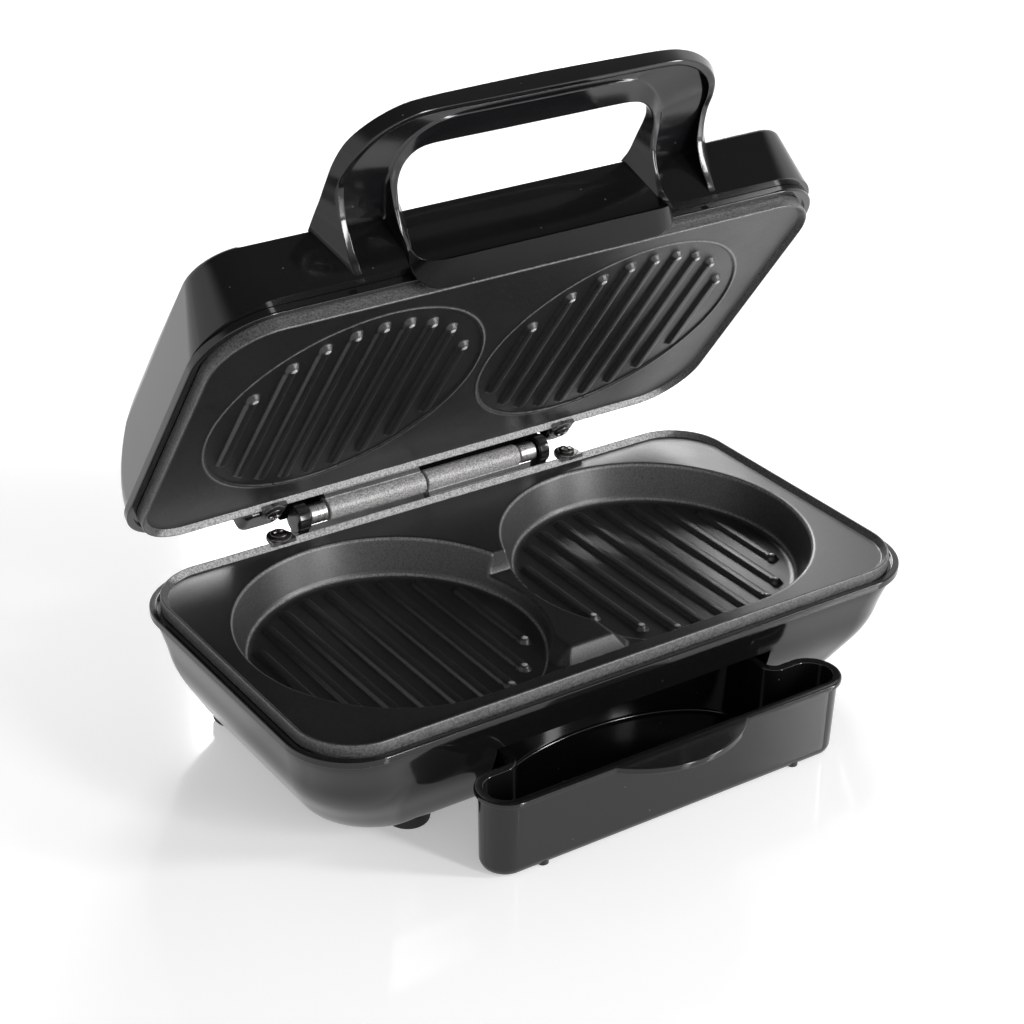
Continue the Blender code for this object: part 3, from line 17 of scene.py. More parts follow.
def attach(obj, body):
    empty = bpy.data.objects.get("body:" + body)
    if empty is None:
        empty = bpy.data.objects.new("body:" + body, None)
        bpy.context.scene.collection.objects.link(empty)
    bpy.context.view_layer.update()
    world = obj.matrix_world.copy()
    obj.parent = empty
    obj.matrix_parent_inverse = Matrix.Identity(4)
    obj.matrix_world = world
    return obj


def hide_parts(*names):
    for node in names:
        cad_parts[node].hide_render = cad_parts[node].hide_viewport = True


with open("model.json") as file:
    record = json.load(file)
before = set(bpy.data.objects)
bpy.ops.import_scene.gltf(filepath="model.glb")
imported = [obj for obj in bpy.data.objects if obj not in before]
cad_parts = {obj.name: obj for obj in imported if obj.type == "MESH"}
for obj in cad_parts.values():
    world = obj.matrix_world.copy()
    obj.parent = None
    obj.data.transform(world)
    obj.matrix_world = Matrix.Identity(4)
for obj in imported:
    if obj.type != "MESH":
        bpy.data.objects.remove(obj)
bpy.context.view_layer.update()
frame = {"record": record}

MM = 0.001
PLATE_LEVEL = 54.0
DEPTH_SHIFT = 8.0572
HINGE_BACK = 73.5
HINGE_RISE = 6.84
LID_ANGLE = 55.03

TO_BASE = Matrix.Translation((0, DEPTH_SHIFT * MM, PLATE_LEVEL * MM)) @ Matrix.Scale(MM, 4)
TO_LID = (Matrix.Translation((0, (DEPTH_SHIFT + HINGE_BACK) * MM, (PLATE_LEVEL + HINGE_RISE) * MM))
          @ Matrix.Rotation(-math.radians(LID_ANGLE), 4, "X") @ Matrix.Scale(MM, 4)
          @ Matrix.Translation((0, -HINGE_BACK, HINGE_RISE)))
BODY_PLACE = {"base": TO_BASE, "tray": TO_BASE, "lid": TO_LID}
# Steps of each rounded corner of a closed outline
OUTLINE_STEPS = 3


# Mesh helpers

def plan(half, front, back, corner, steps):
    """Rounded rectangle seen from above; front and back are distances from the middle."""
    centres = ((half - corner, corner - front, -0.5), (half - corner, back - corner, 0.0),
               (corner - half, back - corner, 0.5), (corner - half, corner - front, 1.0))
    points = []
    for x, y, start in centres:
        for step in range(steps + 1):
            angle = math.pi * (start + 0.5 * step / steps)
            points.append((x + corner * math.cos(angle), y + corner * math.sin(angle)))
    return points


def soften(points, reaches, steps):
    """Rows of numbers whose inner corners become short curves that start at the given reaches."""
    points = [np.array(point, dtype=float) for point in points]
    line = [points[0]]
    for before, corner, after, reach in zip(points, points[1:], points[2:], reaches):
        back, on = before - corner, after - corner
        first = corner + back / np.linalg.norm(back) * min(reach, np.linalg.norm(back) * 0.49)
        last = corner + on / np.linalg.norm(on) * min(reach, np.linalg.norm(on) * 0.49)
        for step in range(steps + 1):
            t = step / steps
            line.append(first * (1 - t) ** 2 + corner * 2 * t * (1 - t) + last * t ** 2)
    return line + [points[-1]]


def arc(centre, radii, start, turn, steps):
    """Points along part of an ellipse, both ends included."""
    angles = [start + turn * step / steps for step in range(steps + 1)]
    return [(centre[0] + radii[0] * math.cos(angle), centre[1] + radii[1] * math.sin(angle)) for angle in angles]


def soften_loop(points, reaches):
    """The same for a closed outline, with a reach for each of its corners."""
    points = list(points)
    return soften([points[-1]] + points + [points[0]], reaches, OUTLINE_STEPS)[1:-1]


def flow(points, steps):
    """Smooth curve through rows of numbers, with the same count of steps between each pair."""
    points = [np.array(point, dtype=float) for point in points]
    ends = [points[0] * 2 - points[1]] + points + [points[-1] * 2 - points[-2]]
    line = []
    for a, b, c, d in zip(ends, ends[1:], ends[2:], ends[3:]):
        for step in range(steps):
            t = step / steps
            line.append(0.5 * (b * 2 + (c - a) * t + (a * 2 - b * 5 + c * 4 - d) * t * t
                               + (b * 3 - a - c * 3 + d) * t ** 3))
    return line + [points[-1]]


def skin(mesh, rows, ring=False, caps=False):
    """Faces over closed rows of equal count, added to a bmesh."""
    made = [[mesh.verts.new(point) for point in row] for row in rows]
    pairs = list(zip(made, made[1:]))
    if ring:
        pairs.append((made[-1], made[0]))
    for low, high in pairs:
        for i in range(len(low)):
            j = (i + 1) % len(low)
            mesh.faces.new((low[i], low[j], high[j], high[i]))
    if caps:
        mesh.faces.new(made[0])
        mesh.faces.new(made[-1])
    return mesh


def mirrored_skin(mesh, rows):
    """Skin over rows that end at the object's middle, and over their mirror image."""
    mirrored = [[Vector((-point.x, point.y, point.z)) for point in row] for row in reversed(rows[:-1])]
    return skin(mesh, rows + mirrored, caps=True)


def stack(mesh, levels):
    """Adds a solid through level outlines; levels are (outline, height)."""
    return skin(mesh, [[Vector((x, y, height)) for x, y in outline] for outline, height in levels], caps=True)


def prism(mesh, outline, low, high):
    """Adds a solid with a side outline of (y, z) rows, from one x to another."""
    return skin(mesh, [[Vector((x, y, z)) for y, z in outline] for x in (low, high)], caps=True)


def turned(mesh, profile, centre, steps=32, axis="Z"):
    """Adds a solid of revolution; profile rows are (radius, place along the axis)."""
    rows = []
    for radius, along in profile:
        row = []
        for step in range(steps):
            angle = math.tau * step / steps
            u, v = radius * math.cos(angle), radius * math.sin(angle)
            offset = {"Z": (u, v, along), "X": (along, u, v), "Y": (u, along, v)}[axis]
            row.append(Vector(centre) + Vector(offset))
        rows.append(row)
    return skin(mesh, rows, caps=True)


def tube(mesh, low, high, bore, end, rise):
    """Adds a tube along the hinge axis; end rows are (radius, distance from the tube's end)."""
    profile = [(bore, low)] + [(radius, low + away) for radius, away in end]
    profile += [(radius, high - away) for radius, away in reversed(end)] + [(bore, high)]
    return turned(mesh, profile, (0, HINGE_BACK, rise), 40, "X")


def add_object(name, data):
    made = bpy.data.objects.new(name, data)
    bpy.context.scene.collection.objects.link(made)
    return made


def finish_piece(name, mesh, body, replaced, slot, smooth):
    """Turn a bmesh in millimetres into a named piece that rides on a body. Faces that meet at
    more than the smooth angle, in degrees, keep a sharp edge."""
    bmesh.ops.recalc_face_normals(mesh, faces=mesh.faces)
    bmesh.ops.transform(mesh, matrix=BODY_PLACE[body], verts=mesh.verts)
    data = bpy.data.meshes.new(name)
    mesh.to_mesh(data)
    mesh.free()
    data.shade_smooth()
    data.set_sharp_from_angle(angle=math.radians(smooth))
    piece = add_object(name, data)
    piece.modifiers.new("even_normals", "WEIGHTED_NORMAL").keep_sharp = True
    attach(piece, body)
    if replaced:
        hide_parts(*replaced)
    data.materials.append(FINISH[slot])
    return piece


# Finishes

class Nodes:
    """Short calls for building a node tree."""

    def __init__(self, tree):
        self.tree = tree

    def add(self, kind, **settings):
        node = self.tree.nodes.new(kind)
        for key, value in settings.items():
            setattr(node, key, value)
        return node

    def feed(self, socket, value):
        if isinstance(value, bpy.types.NodeSocket):
            self.tree.links.new(value, socket)
        elif isinstance(value, tuple) and len(value) == 3 and socket.type == "RGBA":
            socket.default_value = (*value, 1.0)
        else:
            socket.default_value = value

    def fill(self, sockets, **values):
        """Feed named sockets; an underscore stands for a blank in a socket's name."""
        for name, value in values.items():
            self.feed(sockets[name.replace("_", " ")], value)

    def math(self, operation, first, second=0.0):
        node = self.add("ShaderNodeMath", operation=operation)
        self.feed(node.inputs[0], first)
        self.feed(node.inputs[1], second)
        return node.outputs[0]

    def size(self, value):
        return self.math("ABSOLUTE", value)

    def plus(self, first, second):
        return self.math("ADD", first, second)

    def minus(self, first, second):
        return self.math("SUBTRACT", first, second)

    def times(self, first, second):
        return self.math("MULTIPLY", first, second)

    def length(self, first, second):
        return self.math("SQRT", self.plus(self.times(first, first), self.times(second, second)))

    def ramp(self, value, low, high, to_low=0.0, to_high=1.0):
        node = self.add("ShaderNodeMapRange", interpolation_type="SMOOTHSTEP")
        self.fill(node.inputs, Value=value, From_Min=low, From_Max=high, To_Min=to_low, To_Max=to_high)
        return node.outputs["Result"]

    def mix(self, factor, first, second):
        node = self.add("ShaderNodeMix", data_type="RGBA")
        self.feed(node.inputs[0], factor)
        self.feed(node.inputs[6], first)
        self.feed(node.inputs[7], second)
        return node.outputs[2]

    def layers(self, body, *rows):
        """Colours laid over a body one after the other; rows are (share, colour)."""
        for share, colour in rows:
            body = self.mix(share, body, colour)
        return body

    def place(self):
        return self.add("ShaderNodeTexCoord").outputs["Object"]

    def noise(self, vector, scale, detail=2.0, roughness=0.5):
        node = self.add("ShaderNodeTexNoise")
        self.fill(node.inputs, Vector=vector, Scale=scale, Detail=detail, Roughness=roughness)
        return node.outputs["Fac"]

    def cells(self, vector, scale):
        node = self.add("ShaderNodeTexVoronoi")
        self.fill(node.inputs, Vector=vector, Scale=scale)
        return node.outputs

    def parts(self, vector):
        node = self.add("ShaderNodeSeparateXYZ")
        self.feed(node.inputs[0], vector)
        return node.outputs

    def mapping(self, **values):
        node = self.add("ShaderNodeMapping")
        self.fill(node.inputs, Vector=self.place(), **values)
        return node.outputs["Vector"]

    def specks(self, vector, scale, share, low, high):
        """Round spots in some cells of a cell pattern."""
        cell = self.cells(vector, scale)
        split = self.add("ShaderNodeSeparateColor")
        self.feed(split.inputs["Color"], cell["Color"])
        picked = self.math("GREATER_THAN", split.outputs["Red"], self.minus(1.0, share))
        return self.times(picked, self.ramp(cell["Distance"], low, high, 1.0, 0.0))

    def group(self, tree, **values):
        node = self.add("ShaderNodeGroup")
        node.node_tree = tree
        self.fill(node.inputs, **values)
        return node.outputs


def new_group(name, inputs, outputs):
    """A shader node group of number sockets; inputs are (name, default) rows."""
    tree = bpy.data.node_groups.new(name, "ShaderNodeTree")
    for label, default in inputs:
        tree.interface.new_socket(label, in_out="INPUT", socket_type="NodeSocketFloat").default_value = default
    for label in outputs:
        tree.interface.new_socket(label, in_out="OUTPUT", socket_type="NodeSocketFloat")
    kit = Nodes(tree)
    return kit, kit.add("NodeGroupInput").outputs, kit.add("NodeGroupOutput").inputs


def make_grain_group():
    """Pebbled skin: its height, its brightest crumbs, and a broad soft cloud."""
    kit, given, made = new_group("fine_grain", (("Scale", 900.0), ("Fleck Share", 0.1)),
                                 ("Height", "Flecks", "Cloud"))
    place = kit.place()
    coarse = kit.noise(place, given["Scale"], 3.0, 0.65)
    fine = kit.noise(place, kit.times(given["Scale"], 2.7), 2.0, 0.6)
    kit.fill(made, Height=kit.plus(kit.times(coarse, 0.65), kit.times(fine, 0.35)),
             Flecks=kit.specks(place, kit.times(given["Scale"], 1.6), given["Fleck Share"], 0.15, 0.45),
             Cloud=kit.noise(place, 26.0, 3.0, 0.55))
    return kit.tree


def make_wear_group():
    """Faint rubbed edges from the surface's own curvature, broken up by noise."""
    kit, given, made = new_group("edge_rub", (("Low", 0.52), ("High", 0.62)), ("Mask",))
    sharp = kit.add("ShaderNodeNewGeometry").outputs["Pointiness"]
    broken = kit.ramp(kit.noise(kit.place(), 240.0, 4.0, 0.6), 0.35, 0.7)
    kit.feed(made["Mask"], kit.times(kit.ramp(sharp, given["Low"], given["High"]), broken))
    return kit.tree


def make_dust_group():
    """Scattered tiny specks, and a soft film on faces that look up."""
    kit, given, made = new_group("dust", (("Scale", 420.0), ("Share", 0.02)), ("Specks", "Film"))
    place = kit.place()
    up = kit.parts(kit.add("ShaderNodeNewGeometry").outputs["Normal"])["Z"]
    kit.fill(made, Specks=kit.specks(place, given["Scale"], given["Share"], 0.05, 0.18),
             Film=kit.times(kit.noise(place, 60.0, 5.0, 0.6), kit.ramp(up, 0.1, 0.9)))
    return kit.tree


def make_turning_group():
    """Fine lines that a lathe leaves round a turned part, close together along X."""
    kit, given, made = new_group("turning_lines", (("Scale", 1.0),), ("Lines",))
    kit.feed(made["Lines"], kit.noise(kit.mapping(Scale=(1600.0, 60.0, 60.0)), given["Scale"]))
    return kit.tree


def make_lens_group():
    """Small round ribs moulded side by side in a lens."""
    kit, given, made = new_group("lens_ribs", (("Scale", 900.0),), ("Ribs",))
    cell = kit.cells(kit.place(), given["Scale"])
    kit.feed(made["Ribs"], kit.ramp(cell["Distance"], 0.1, 0.6, 1.0, 0.0))
    return kit.tree


GRAIN, WEAR, DUST = make_grain_group(), make_wear_group(), make_dust_group()
TURNING_LINES, LENS_RIBS = make_turning_group(), make_lens_group()
PALE_DUST = (0.20, 0.19, 0.18)


def shade(colour, share):
    return tuple(part * share for part in colour)


def new_material(name, **constants):
    """A material with its shader's constants set; returns it with its node kit and shader inputs."""
    material = bpy.data.materials.new(name)
    material.use_nodes = True
    shader = material.node_tree.nodes["Principled BSDF"]
    for label, value in constants.items():
        shader.inputs[label.replace("_", " ")].default_value = value
    return material, Nodes(material.node_tree), shader.inputs


def add_bump(kit, shader, height, strength, distance):
    node = kit.add("ShaderNodeBump")
    kit.fill(node.inputs, Strength=strength, Distance=distance, Height=height)
    kit.feed(shader["Normal"], node.outputs["Normal"])


# Shared by the plates' shapes and their coating: half width, front, back, corner of a plate;
# the ribs; the middles and radii of the round pockets below and of the flat circles above
PLATE_SIZE = (128.9, 69.2, 69.2, 23.0)
RIB_COUNT = 9
RIB_PITCH = 10.85
RIB_HEAD_R = 47.5
POCKET_X, POCKET_R, POCKET_FLOOR_R, POCKET_DEEP = 59.06, 60.0, 54.95, 14.83
UPPER_X, UPPER_Y, UPPER_R = 58.7, -1.7, 56.2
POCKET_CIRCLE = {"Centre_X": POCKET_X, "Centre_Y": 0.0, "Radius": POCKET_R, "Floor_Radius": POCKET_FLOOR_R}
UPPER_CIRCLE = {"Centre_X": UPPER_X, "Centre_Y": UPPER_Y, "Radius": UPPER_R, "Floor_Radius": 0.0}


def make_plate_place_group():
    """Masks for a place on a plate: its rim, its steep faces, its rear edge and its hinge barrel."""
    kit, given, made = new_group("plate_place", (("X", 0.0), ("Y", 0.0), ("Z", 0.0), ("Facing", 1.0)),
                                 ("Rim", "Steep", "Rear", "Barrel"))
    half, _, back, corner = PLATE_SIZE
    rim_start, rim_full = corner - 2.75, corner - 2.45
    barrel_half, barrel_full, barrel_end = 50.0, 4.7, 4.95
    over_x = kit.minus(kit.size(given["X"]), half - corner)
    over_y = kit.minus(kit.size(given["Y"]), back - corner)
    corner_part = kit.length(kit.math("MAXIMUM", over_x, 0.0), kit.math("MAXIMUM", over_y, 0.0))
    flat_part = kit.math("MINIMUM", kit.math("MAXIMUM", over_x, over_y), 0.0)
    over = kit.plus(corner_part, flat_part)
    on_plate = kit.math("LESS_THAN", over, corner + 0.02)
    from_axis = kit.length(kit.minus(given["Y"], HINGE_BACK), kit.minus(kit.size(given["Z"]), HINGE_RISE))
    middle_part = kit.math("LESS_THAN", kit.size(given["X"]), barrel_half)
    kit.fill(made, Rim=kit.times(on_plate, kit.ramp(over, rim_start, rim_full)),
             Steep=kit.ramp(kit.size(given["Facing"]), 0.96, 0.62),
             Rear=kit.ramp(given["Y"], back - 6.0, back - 4.0),
             Barrel=kit.times(middle_part, kit.ramp(from_axis, barrel_end, barrel_full)))
    return kit.tree


def make_circle_highlights_group():
    """Painted highlights round a plate's circles: bright lines along their edges and bright dots on the round rib
    heads.
    """
    inputs = (("X", 0.0), ("Y", 0.0), ("Z", 0.0), ("Centre X", POCKET_X), ("Centre Y", 0.0),
              ("Radius", POCKET_R), ("Floor Radius", 0.0))
    kit, given, made = new_group("circle_painted_highlights", inputs, ("Edge", "Tip"))
    near_top, near_floor = 1.5, POCKET_DEEP - 1.83
    along_x = kit.minus(kit.size(given["X"]), given["Centre X"])
    along_y = kit.minus(given["Y"], given["Centre Y"])
    from_middle = kit.length(along_x, along_y)
    deep = kit.size(given["Z"])

    def line_at(radius, allowed):
        return kit.times(allowed, kit.ramp(kit.size(kit.minus(from_middle, radius)), 0.55, 0.15))

    top_line = line_at(given["Radius"], kit.math("LESS_THAN", deep, near_top))
    floor_line = line_at(given["Floor Radius"], kit.math("GREATER_THAN", deep, near_floor))
    rib = kit.times(kit.math("ROUND", kit.math("DIVIDE", along_x, RIB_PITCH)), RIB_PITCH)
    head_square = kit.minus(RIB_HEAD_R ** 2, kit.times(rib, rib))
    head = kit.math("SQRT", kit.math("MAXIMUM", head_square, 0.0))
    from_head = kit.length(kit.minus(along_x, rib), kit.plus(along_y, head))
    real_rib = kit.math("LESS_THAN", kit.size(rib), RIB_COUNT / 2 * RIB_PITCH)
    kit.fill(made, Edge=kit.math("MAXIMUM", top_line, floor_line),
             Tip=kit.times(real_rib, kit.ramp(from_head, 1.35, 0.85)))
    return kit.tree


PLATE_PLACE, CIRCLE_HIGHLIGHTS = make_plate_place_group(), make_circle_highlights_group()

# Tones of the coating, darkest and lightest grain of each; the tones laid on the rear slopes and the hinge barrels, on
# the circles' edges and on the rib heads are painted highlights, and the tone of the steep faces is a thinner coat
# lightened as painted light
COATING_TONES = {
    "thick": ((0.0045, 0.0045, 0.0050), (0.0150, 0.0146, 0.0155)),
    "thin": ((0.009, 0.009, 0.0095), (0.046, 0.045, 0.046)),
    "rubbed": ((0.026, 0.026, 0.027), (0.125, 0.125, 0.127)),
    "painted_highlight": ((0.10, 0.10, 0.10), (0.42, 0.415, 0.41)),
    "edge": ((0.05, 0.05, 0.05), (0.24, 0.238, 0.235)),
    "tip_highlight": ((0.30, 0.30, 0.30), (0.70, 0.70, 0.69)),
}
COATING_CRUMB = (0.40, 0.39, 0.38)


def coated_metal(name, matrix, circle):
    """Non-stick coating on cast metal: near black where it lies thick on the level faces, grey and
    grainy on the steep ones, partly a thinner coat and partly painted light, thinnest on the rim and
    the hinge barrels, with a painted highlight on the barrels and the rear slopes, and painted
    highlights on the circles' edges and the rib heads."""
    material, kit, shader = new_material(name, Specular_IOR_Level=0.62)
    back = matrix.inverted()
    local = kit.parts(kit.mapping(Location=back.translation, Rotation=back.to_euler(), Scale=back.to_scale()))
    spot = {label: local[label] for label in "XYZ"}
    facing = kit.add("ShaderNodeVectorMath", operation="DOT_PRODUCT")
    kit.feed(facing.inputs[0], kit.add("ShaderNodeTexCoord").outputs["Normal"])
    kit.feed(facing.inputs[1], (matrix.to_3x3() @ Vector((0, 0, 1))).normalized())
    where = kit.group(PLATE_PLACE, Facing=facing.outputs["Value"], **spot)
    painted_highlights = kit.group(CIRCLE_HIGHLIGHTS, **spot, **circle)
    grain = kit.group(GRAIN, Scale=1400.0, Fleck_Share=0.12)
    pebble = kit.ramp(grain["Height"], 0.36, 0.64)
    tone = {label: kit.mix(pebble, dark, light) for label, (dark, light) in COATING_TONES.items()}
    rim = kit.times(where["Rim"], kit.ramp(where["Steep"], 0.05, 0.4, 0.35, 1.0))
    rear_slope = kit.times(kit.times(where["Rim"], where["Rear"]), where["Steep"])
    kit.feed(shader["Base Color"], kit.layers(
        # Steep faces: a thinner coat, lightened further as painted light
        tone["thick"], (kit.times(where["Steep"], 0.75), tone["thin"]), (rim, tone["rubbed"]),
        # Painted highlight on the plate's rear slopes and on the lightly coated hinge barrels
        (kit.math("MAXIMUM", rear_slope, where["Barrel"]), tone["painted_highlight"]),
        # Painted highlights: bright lines on the circles' edges and bright dots on the rib heads
        (kit.times(painted_highlights["Edge"], 0.75), tone["edge"]), (kit.times(painted_highlights["Tip"], 0.9), tone["tip_highlight"]),
        (kit.times(grain["Flecks"], 0.10), COATING_CRUMB)))
    dull = kit.minus(kit.ramp(grain["Cloud"], 0.3, 0.7, 0.34, 0.43), kit.times(painted_highlights["Tip"], 0.14))
    kit.feed(shader["Roughness"], kit.minus(dull, kit.times(grain["Flecks"], 0.12)))
    add_bump(kit, shader, grain["Height"], 0.5, 0.00008)
    return material


def moulded_plastic(name, colour, rough, depth, scale, film, gloss=0.5):
    """Black moulded plastic: slight waviness, a fine skin and a trace of dust."""
    material, kit, shader = new_material(name, Specular_IOR_Level=gloss)
    grain = kit.group(GRAIN, Scale=scale, Fleck_Share=0.0)
    dust = kit.group(DUST, Scale=420.0, Share=0.03)
    rub = kit.group(WEAR, Low=0.54, High=0.68)["Mask"]
    kit.feed(shader["Base Color"], kit.layers(
        colour, (kit.times(grain["Cloud"], 0.4), shade(colour, 1.8)), (kit.times(dust["Specks"], 0.35), PALE_DUST),
        (kit.times(dust["Film"], film), PALE_DUST), (kit.times(rub, 0.05), PALE_DUST)))
    kit.feed(shader["Roughness"], kit.ramp(grain["Cloud"], 0.25, 0.75, rough * 0.85, rough * 1.2))
    add_bump(kit, shader, grain["Height"], 0.3, depth)
    return material


def drawn_steel(name, colour, rough):
    """Dull bright metal with faint turning lines and stains."""
    material, kit, shader = new_material(name, Metallic=1.0)
    grain = kit.group(GRAIN, Scale=700.0, Fleck_Share=0.06)
    lines = kit.group(TURNING_LINES, Scale=1.0)["Lines"]
    stain = kit.ramp(grain["Cloud"], 0.4, 0.7)
    kit.fill(shader, Base_Color=kit.mix(stain, colour, shade(colour, 0.55)),
             Roughness=kit.ramp(lines, 0.3, 0.7, rough - 0.06, rough + 0.1))
    add_bump(kit, shader, lines, 0.25, 0.00002)
    return material


def dull_rubber(name):
    material, kit, shader = new_material(name, Roughness=0.7)
    grain = kit.group(GRAIN, Scale=500.0, Fleck_Share=0.0)
    specks = kit.group(DUST, Scale=300.0, Share=0.08)["Specks"]
    body = kit.mix(grain["Cloud"], (0.012, 0.012, 0.012), (0.022, 0.021, 0.020))
    kit.feed(shader["Base Color"], kit.mix(kit.times(specks, 0.5), body, PALE_DUST))
    add_bump(kit, shader, grain["Height"], 0.4, 0.00006)
    return material


def lamp_lens(name, colour):
    """Ribbed lens over an unlit lamp."""
    material, kit, shader = new_material(name, Roughness=0.16, Coat_Weight=0.5)
    ribs = kit.group(LENS_RIBS, Scale=900.0)["Ribs"]
    kit.feed(shader["Base Color"], kit.mix(ribs, shade(colour, 0.5), colour))
    add_bump(kit, shader, ribs, 0.25, 0.0001)
    return material


def fired_ceramic(name):
    material, kit, shader = new_material(name, Roughness=0.55)
    grain = kit.group(GRAIN, Scale=260.0, Fleck_Share=0.04)
    body = kit.mix(grain["Cloud"], (0.56, 0.50, 0.40), (0.68, 0.62, 0.50))
    kit.feed(shader["Base Color"], kit.mix(grain["Flecks"], body, (0.35, 0.28, 0.20)))
    add_bump(kit, shader, grain["Height"], 0.3, 0.0001)
    return material


GLOSS_BLACK, SATIN_BLACK = (0.0040, 0.0040, 0.0043), (0.0050, 0.0050, 0.0055)
STRIP_BLACK, DULL_BLACK = (0.0040, 0.0040, 0.0044), (0.0030, 0.0030, 0.0033)
# Plastics: colour, roughness, grain depth in metres, grain scale, dust film, gloss
FINISH = {name: make(name, *values) for name, make, *values in (
    ("non_stick_coating", coated_metal, TO_BASE, POCKET_CIRCLE),
    ("gloss_black_plastic", moulded_plastic, GLOSS_BLACK, 0.10, 0.000005, 320.0, 0.008),
    ("satin_black_plastic", moulded_plastic, SATIN_BLACK, 0.13, 0.00001, 700.0, 0.012),
    ("dull_steel", drawn_steel, (0.46, 0.45, 0.44), 0.30),
    ("blackened_screw_steel", drawn_steel, (0.11, 0.105, 0.10), 0.28),
    ("black_foot_rubber", dull_rubber),
    ("red_lamp_lens", lamp_lens, (0.40, 0.015, 0.010)),
    ("green_lamp_lens", lamp_lens, (0.02, 0.28, 0.05)),
    ("cream_ceramic", fired_ceramic),
)}
# Finishes of their own for the lid's plate, the strip under the handle's gap and the hinge covers
LID_COATING = coated_metal("non_stick_coating_lid", TO_LID, UPPER_CIRCLE)
STRIP_PLASTIC = moulded_plastic("handle_strip_plastic", STRIP_BLACK, 0.22, 0.00002, 700.0, 0.006, 0.16)
DULL_PLASTIC = moulded_plastic("dull_black_plastic", DULL_BLACK, 0.60, 0.00003, 700.0, 0.0, 0.10)


def dress_nodes():
    """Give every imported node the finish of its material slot."""
    for row in frame["record"]["subparts"]:
        node = bpy.data.objects.get(row["node"])
        if node:
            node.data.materials.clear()
            node.data.materials.append(FINISH[row["material_slot"]])


# Cooking plates as height fields: one smooth cast face each

EAR_X, EAR_Y, EAR_TOP = 67.8, 71.2, 3.2
RIB_OFFSETS = [(index - RIB_COUNT // 2) * RIB_PITCH for index in range(RIB_COUNT)]
# Ribs run from their head's circle back to this far short of a second circle
RIB_TAIL_R, RIB_TAIL = 50.5, 2.0
# Heights by the distance from a rib's line, from a rib's round head, and from the plate's edge
RIB_SHAPE = ((0.0, 1.60), (1.0, 1.58), (1.5, 1.45), (1.8, 1.15), (2.2, 0.55), (2.5, 0.18), (2.8, 0.03),
             (3.1, 0.0))
BUMP_SHAPE = ((0.0, 2.35), (0.6, 2.28), (1.2, 2.02), (1.7, 1.55), (2.1, 0.9), (2.35, 0.4), (2.6, 0.1),
              (3.0, 0.0))
BORDER_SHAPE = ((0.0, 1.55), (0.12, 1.95), (0.3, 2.16), (0.6, 2.26), (0.85, 2.20), (2.55, 0.10),
                (2.75, 0.02), (3.0, 0.0))


def read_off(pairs, values):
    return np.interp(values, [pair[0] for pair in pairs], [pair[1] for pair in pairs])


def soft_least(first, second, width):
    """Smaller of two heights, with the crease between them rounded over a width."""
    blend = np.clip(0.5 + 0.5 * (second - first) / width, 0.0, 1.0)
    return second * (1 - blend) + first * blend - width * blend * (1 - blend)


def soft_most(first, second, width):
    return -soft_least(-first, -second, width)


def border_inset(x, y):
    half, front, back, corner = PLATE_SIZE
    over_x = np.abs(x) - (half - corner)
    over_y = np.abs(y) - (front - corner)
    outside = np.hypot(np.maximum(over_x, 0), np.maximum(over_y, 0)) + np.minimum(np.maximum(over_x, over_y), 0)
    return corner - outside


def rib_height(x, y, centre_x, centre_y):
    """Height of one circle's ribs; the other circle is reached with x taken as a distance."""
    height = np.zeros_like(x)
    for offset in RIB_OFFSETS:
        front, back = rib_ends(centre_y, offset)
        away = np.hypot(x - centre_x - offset, y - np.clip(y, front, back))
        height = np.maximum(height, read_off(RIB_SHAPE, away))
        knob = read_off(BUMP_SHAPE, np.hypot(x - centre_x - offset, y - front))
        height = np.maximum(height, knob)
    return height


WEB_TOP, WEB_HALF, WEB_FRONT = -8.6, 9.5, -39.0
DRAIN_Y = -50.0
# A height above every face, where nothing is cut
CLEAR = 3.0
POCKET_WALL = soften(((40.0, -POCKET_DEEP), (POCKET_FLOOR_R, -POCKET_DEEP), (POCKET_R, 0.0), (75.0, 0.0)),
                     (2.6, 1.3), 7)
FRONT_WALL = soften(((40.0, -POCKET_DEEP), (POCKET_FLOOR_R + 0.35, -POCKET_DEEP), (61.5, 3.2)), (2.6,), 7)
SADDLE_WALL = soften(((0.0, WEB_TOP), (20.0, WEB_TOP), (21.35, 3.0)), (1.4,), 5)
DRAIN_SHAPE = ((0.0, -6.0), (2.7, -6.0), (3.0, -0.8), (3.5, -0.15), (4.2, 0.0))
RECESS = ((0.0, -0.45), (54.6, -0.45), (55.0, -0.42), (55.5, 0.15), (55.8, 0.32), (56.2, 0.32), (56.9, 0.04),
          (57.2, 0.0), (200.0, 0.0))


def lower_height(x, y):
    """The pockets, joined in front by a channel and between them by the web and its saddle."""
    across = np.abs(x)
    pocket = read_off(POCKET_WALL, np.hypot(across - POCKET_X, y))
    side = WEB_TOP - (across - WEB_HALF) * 0.89
    nose = WEB_TOP - (WEB_FRONT - y) * 1.385
    facet = WEB_TOP - (across - WEB_HALF) * 0.862 - (WEB_FRONT - y) * 0.657
    web = soft_least(soft_least(side, nose, 0.5), facet, 0.4)
    web = soft_most(soft_least(web, np.full_like(x, WEB_TOP), 0.6), np.full_like(x, -POCKET_DEEP), 0.8)
    channel = np.where((across < POCKET_X) & (y < -23.0), soft_most(read_off(FRONT_WALL, -y), web, 0.6), CLEAR)
    saddle = np.where((across < 16.5) & (y > -40.0), read_off(SADDLE_WALL, y), CLEAR)
    height = np.maximum(soft_least(pocket, np.minimum(channel, saddle), 1.1), -POCKET_DEEP)
    drain = read_off(DRAIN_SHAPE, np.hypot(x, y - DRAIN_Y))
    return height + read_off(BORDER_SHAPE, border_inset(x, y)) + rib_height(across, y, POCKET_X, 0.0) + drain


def upper_height(x, y):
    across = np.abs(x)
    recess = read_off(RECESS, np.hypot(across - UPPER_X, y - UPPER_Y))
    return recess + read_off(BORDER_SHAPE, border_inset(x, y)) + rib_height(across, y, UPPER_X, UPPER_Y)


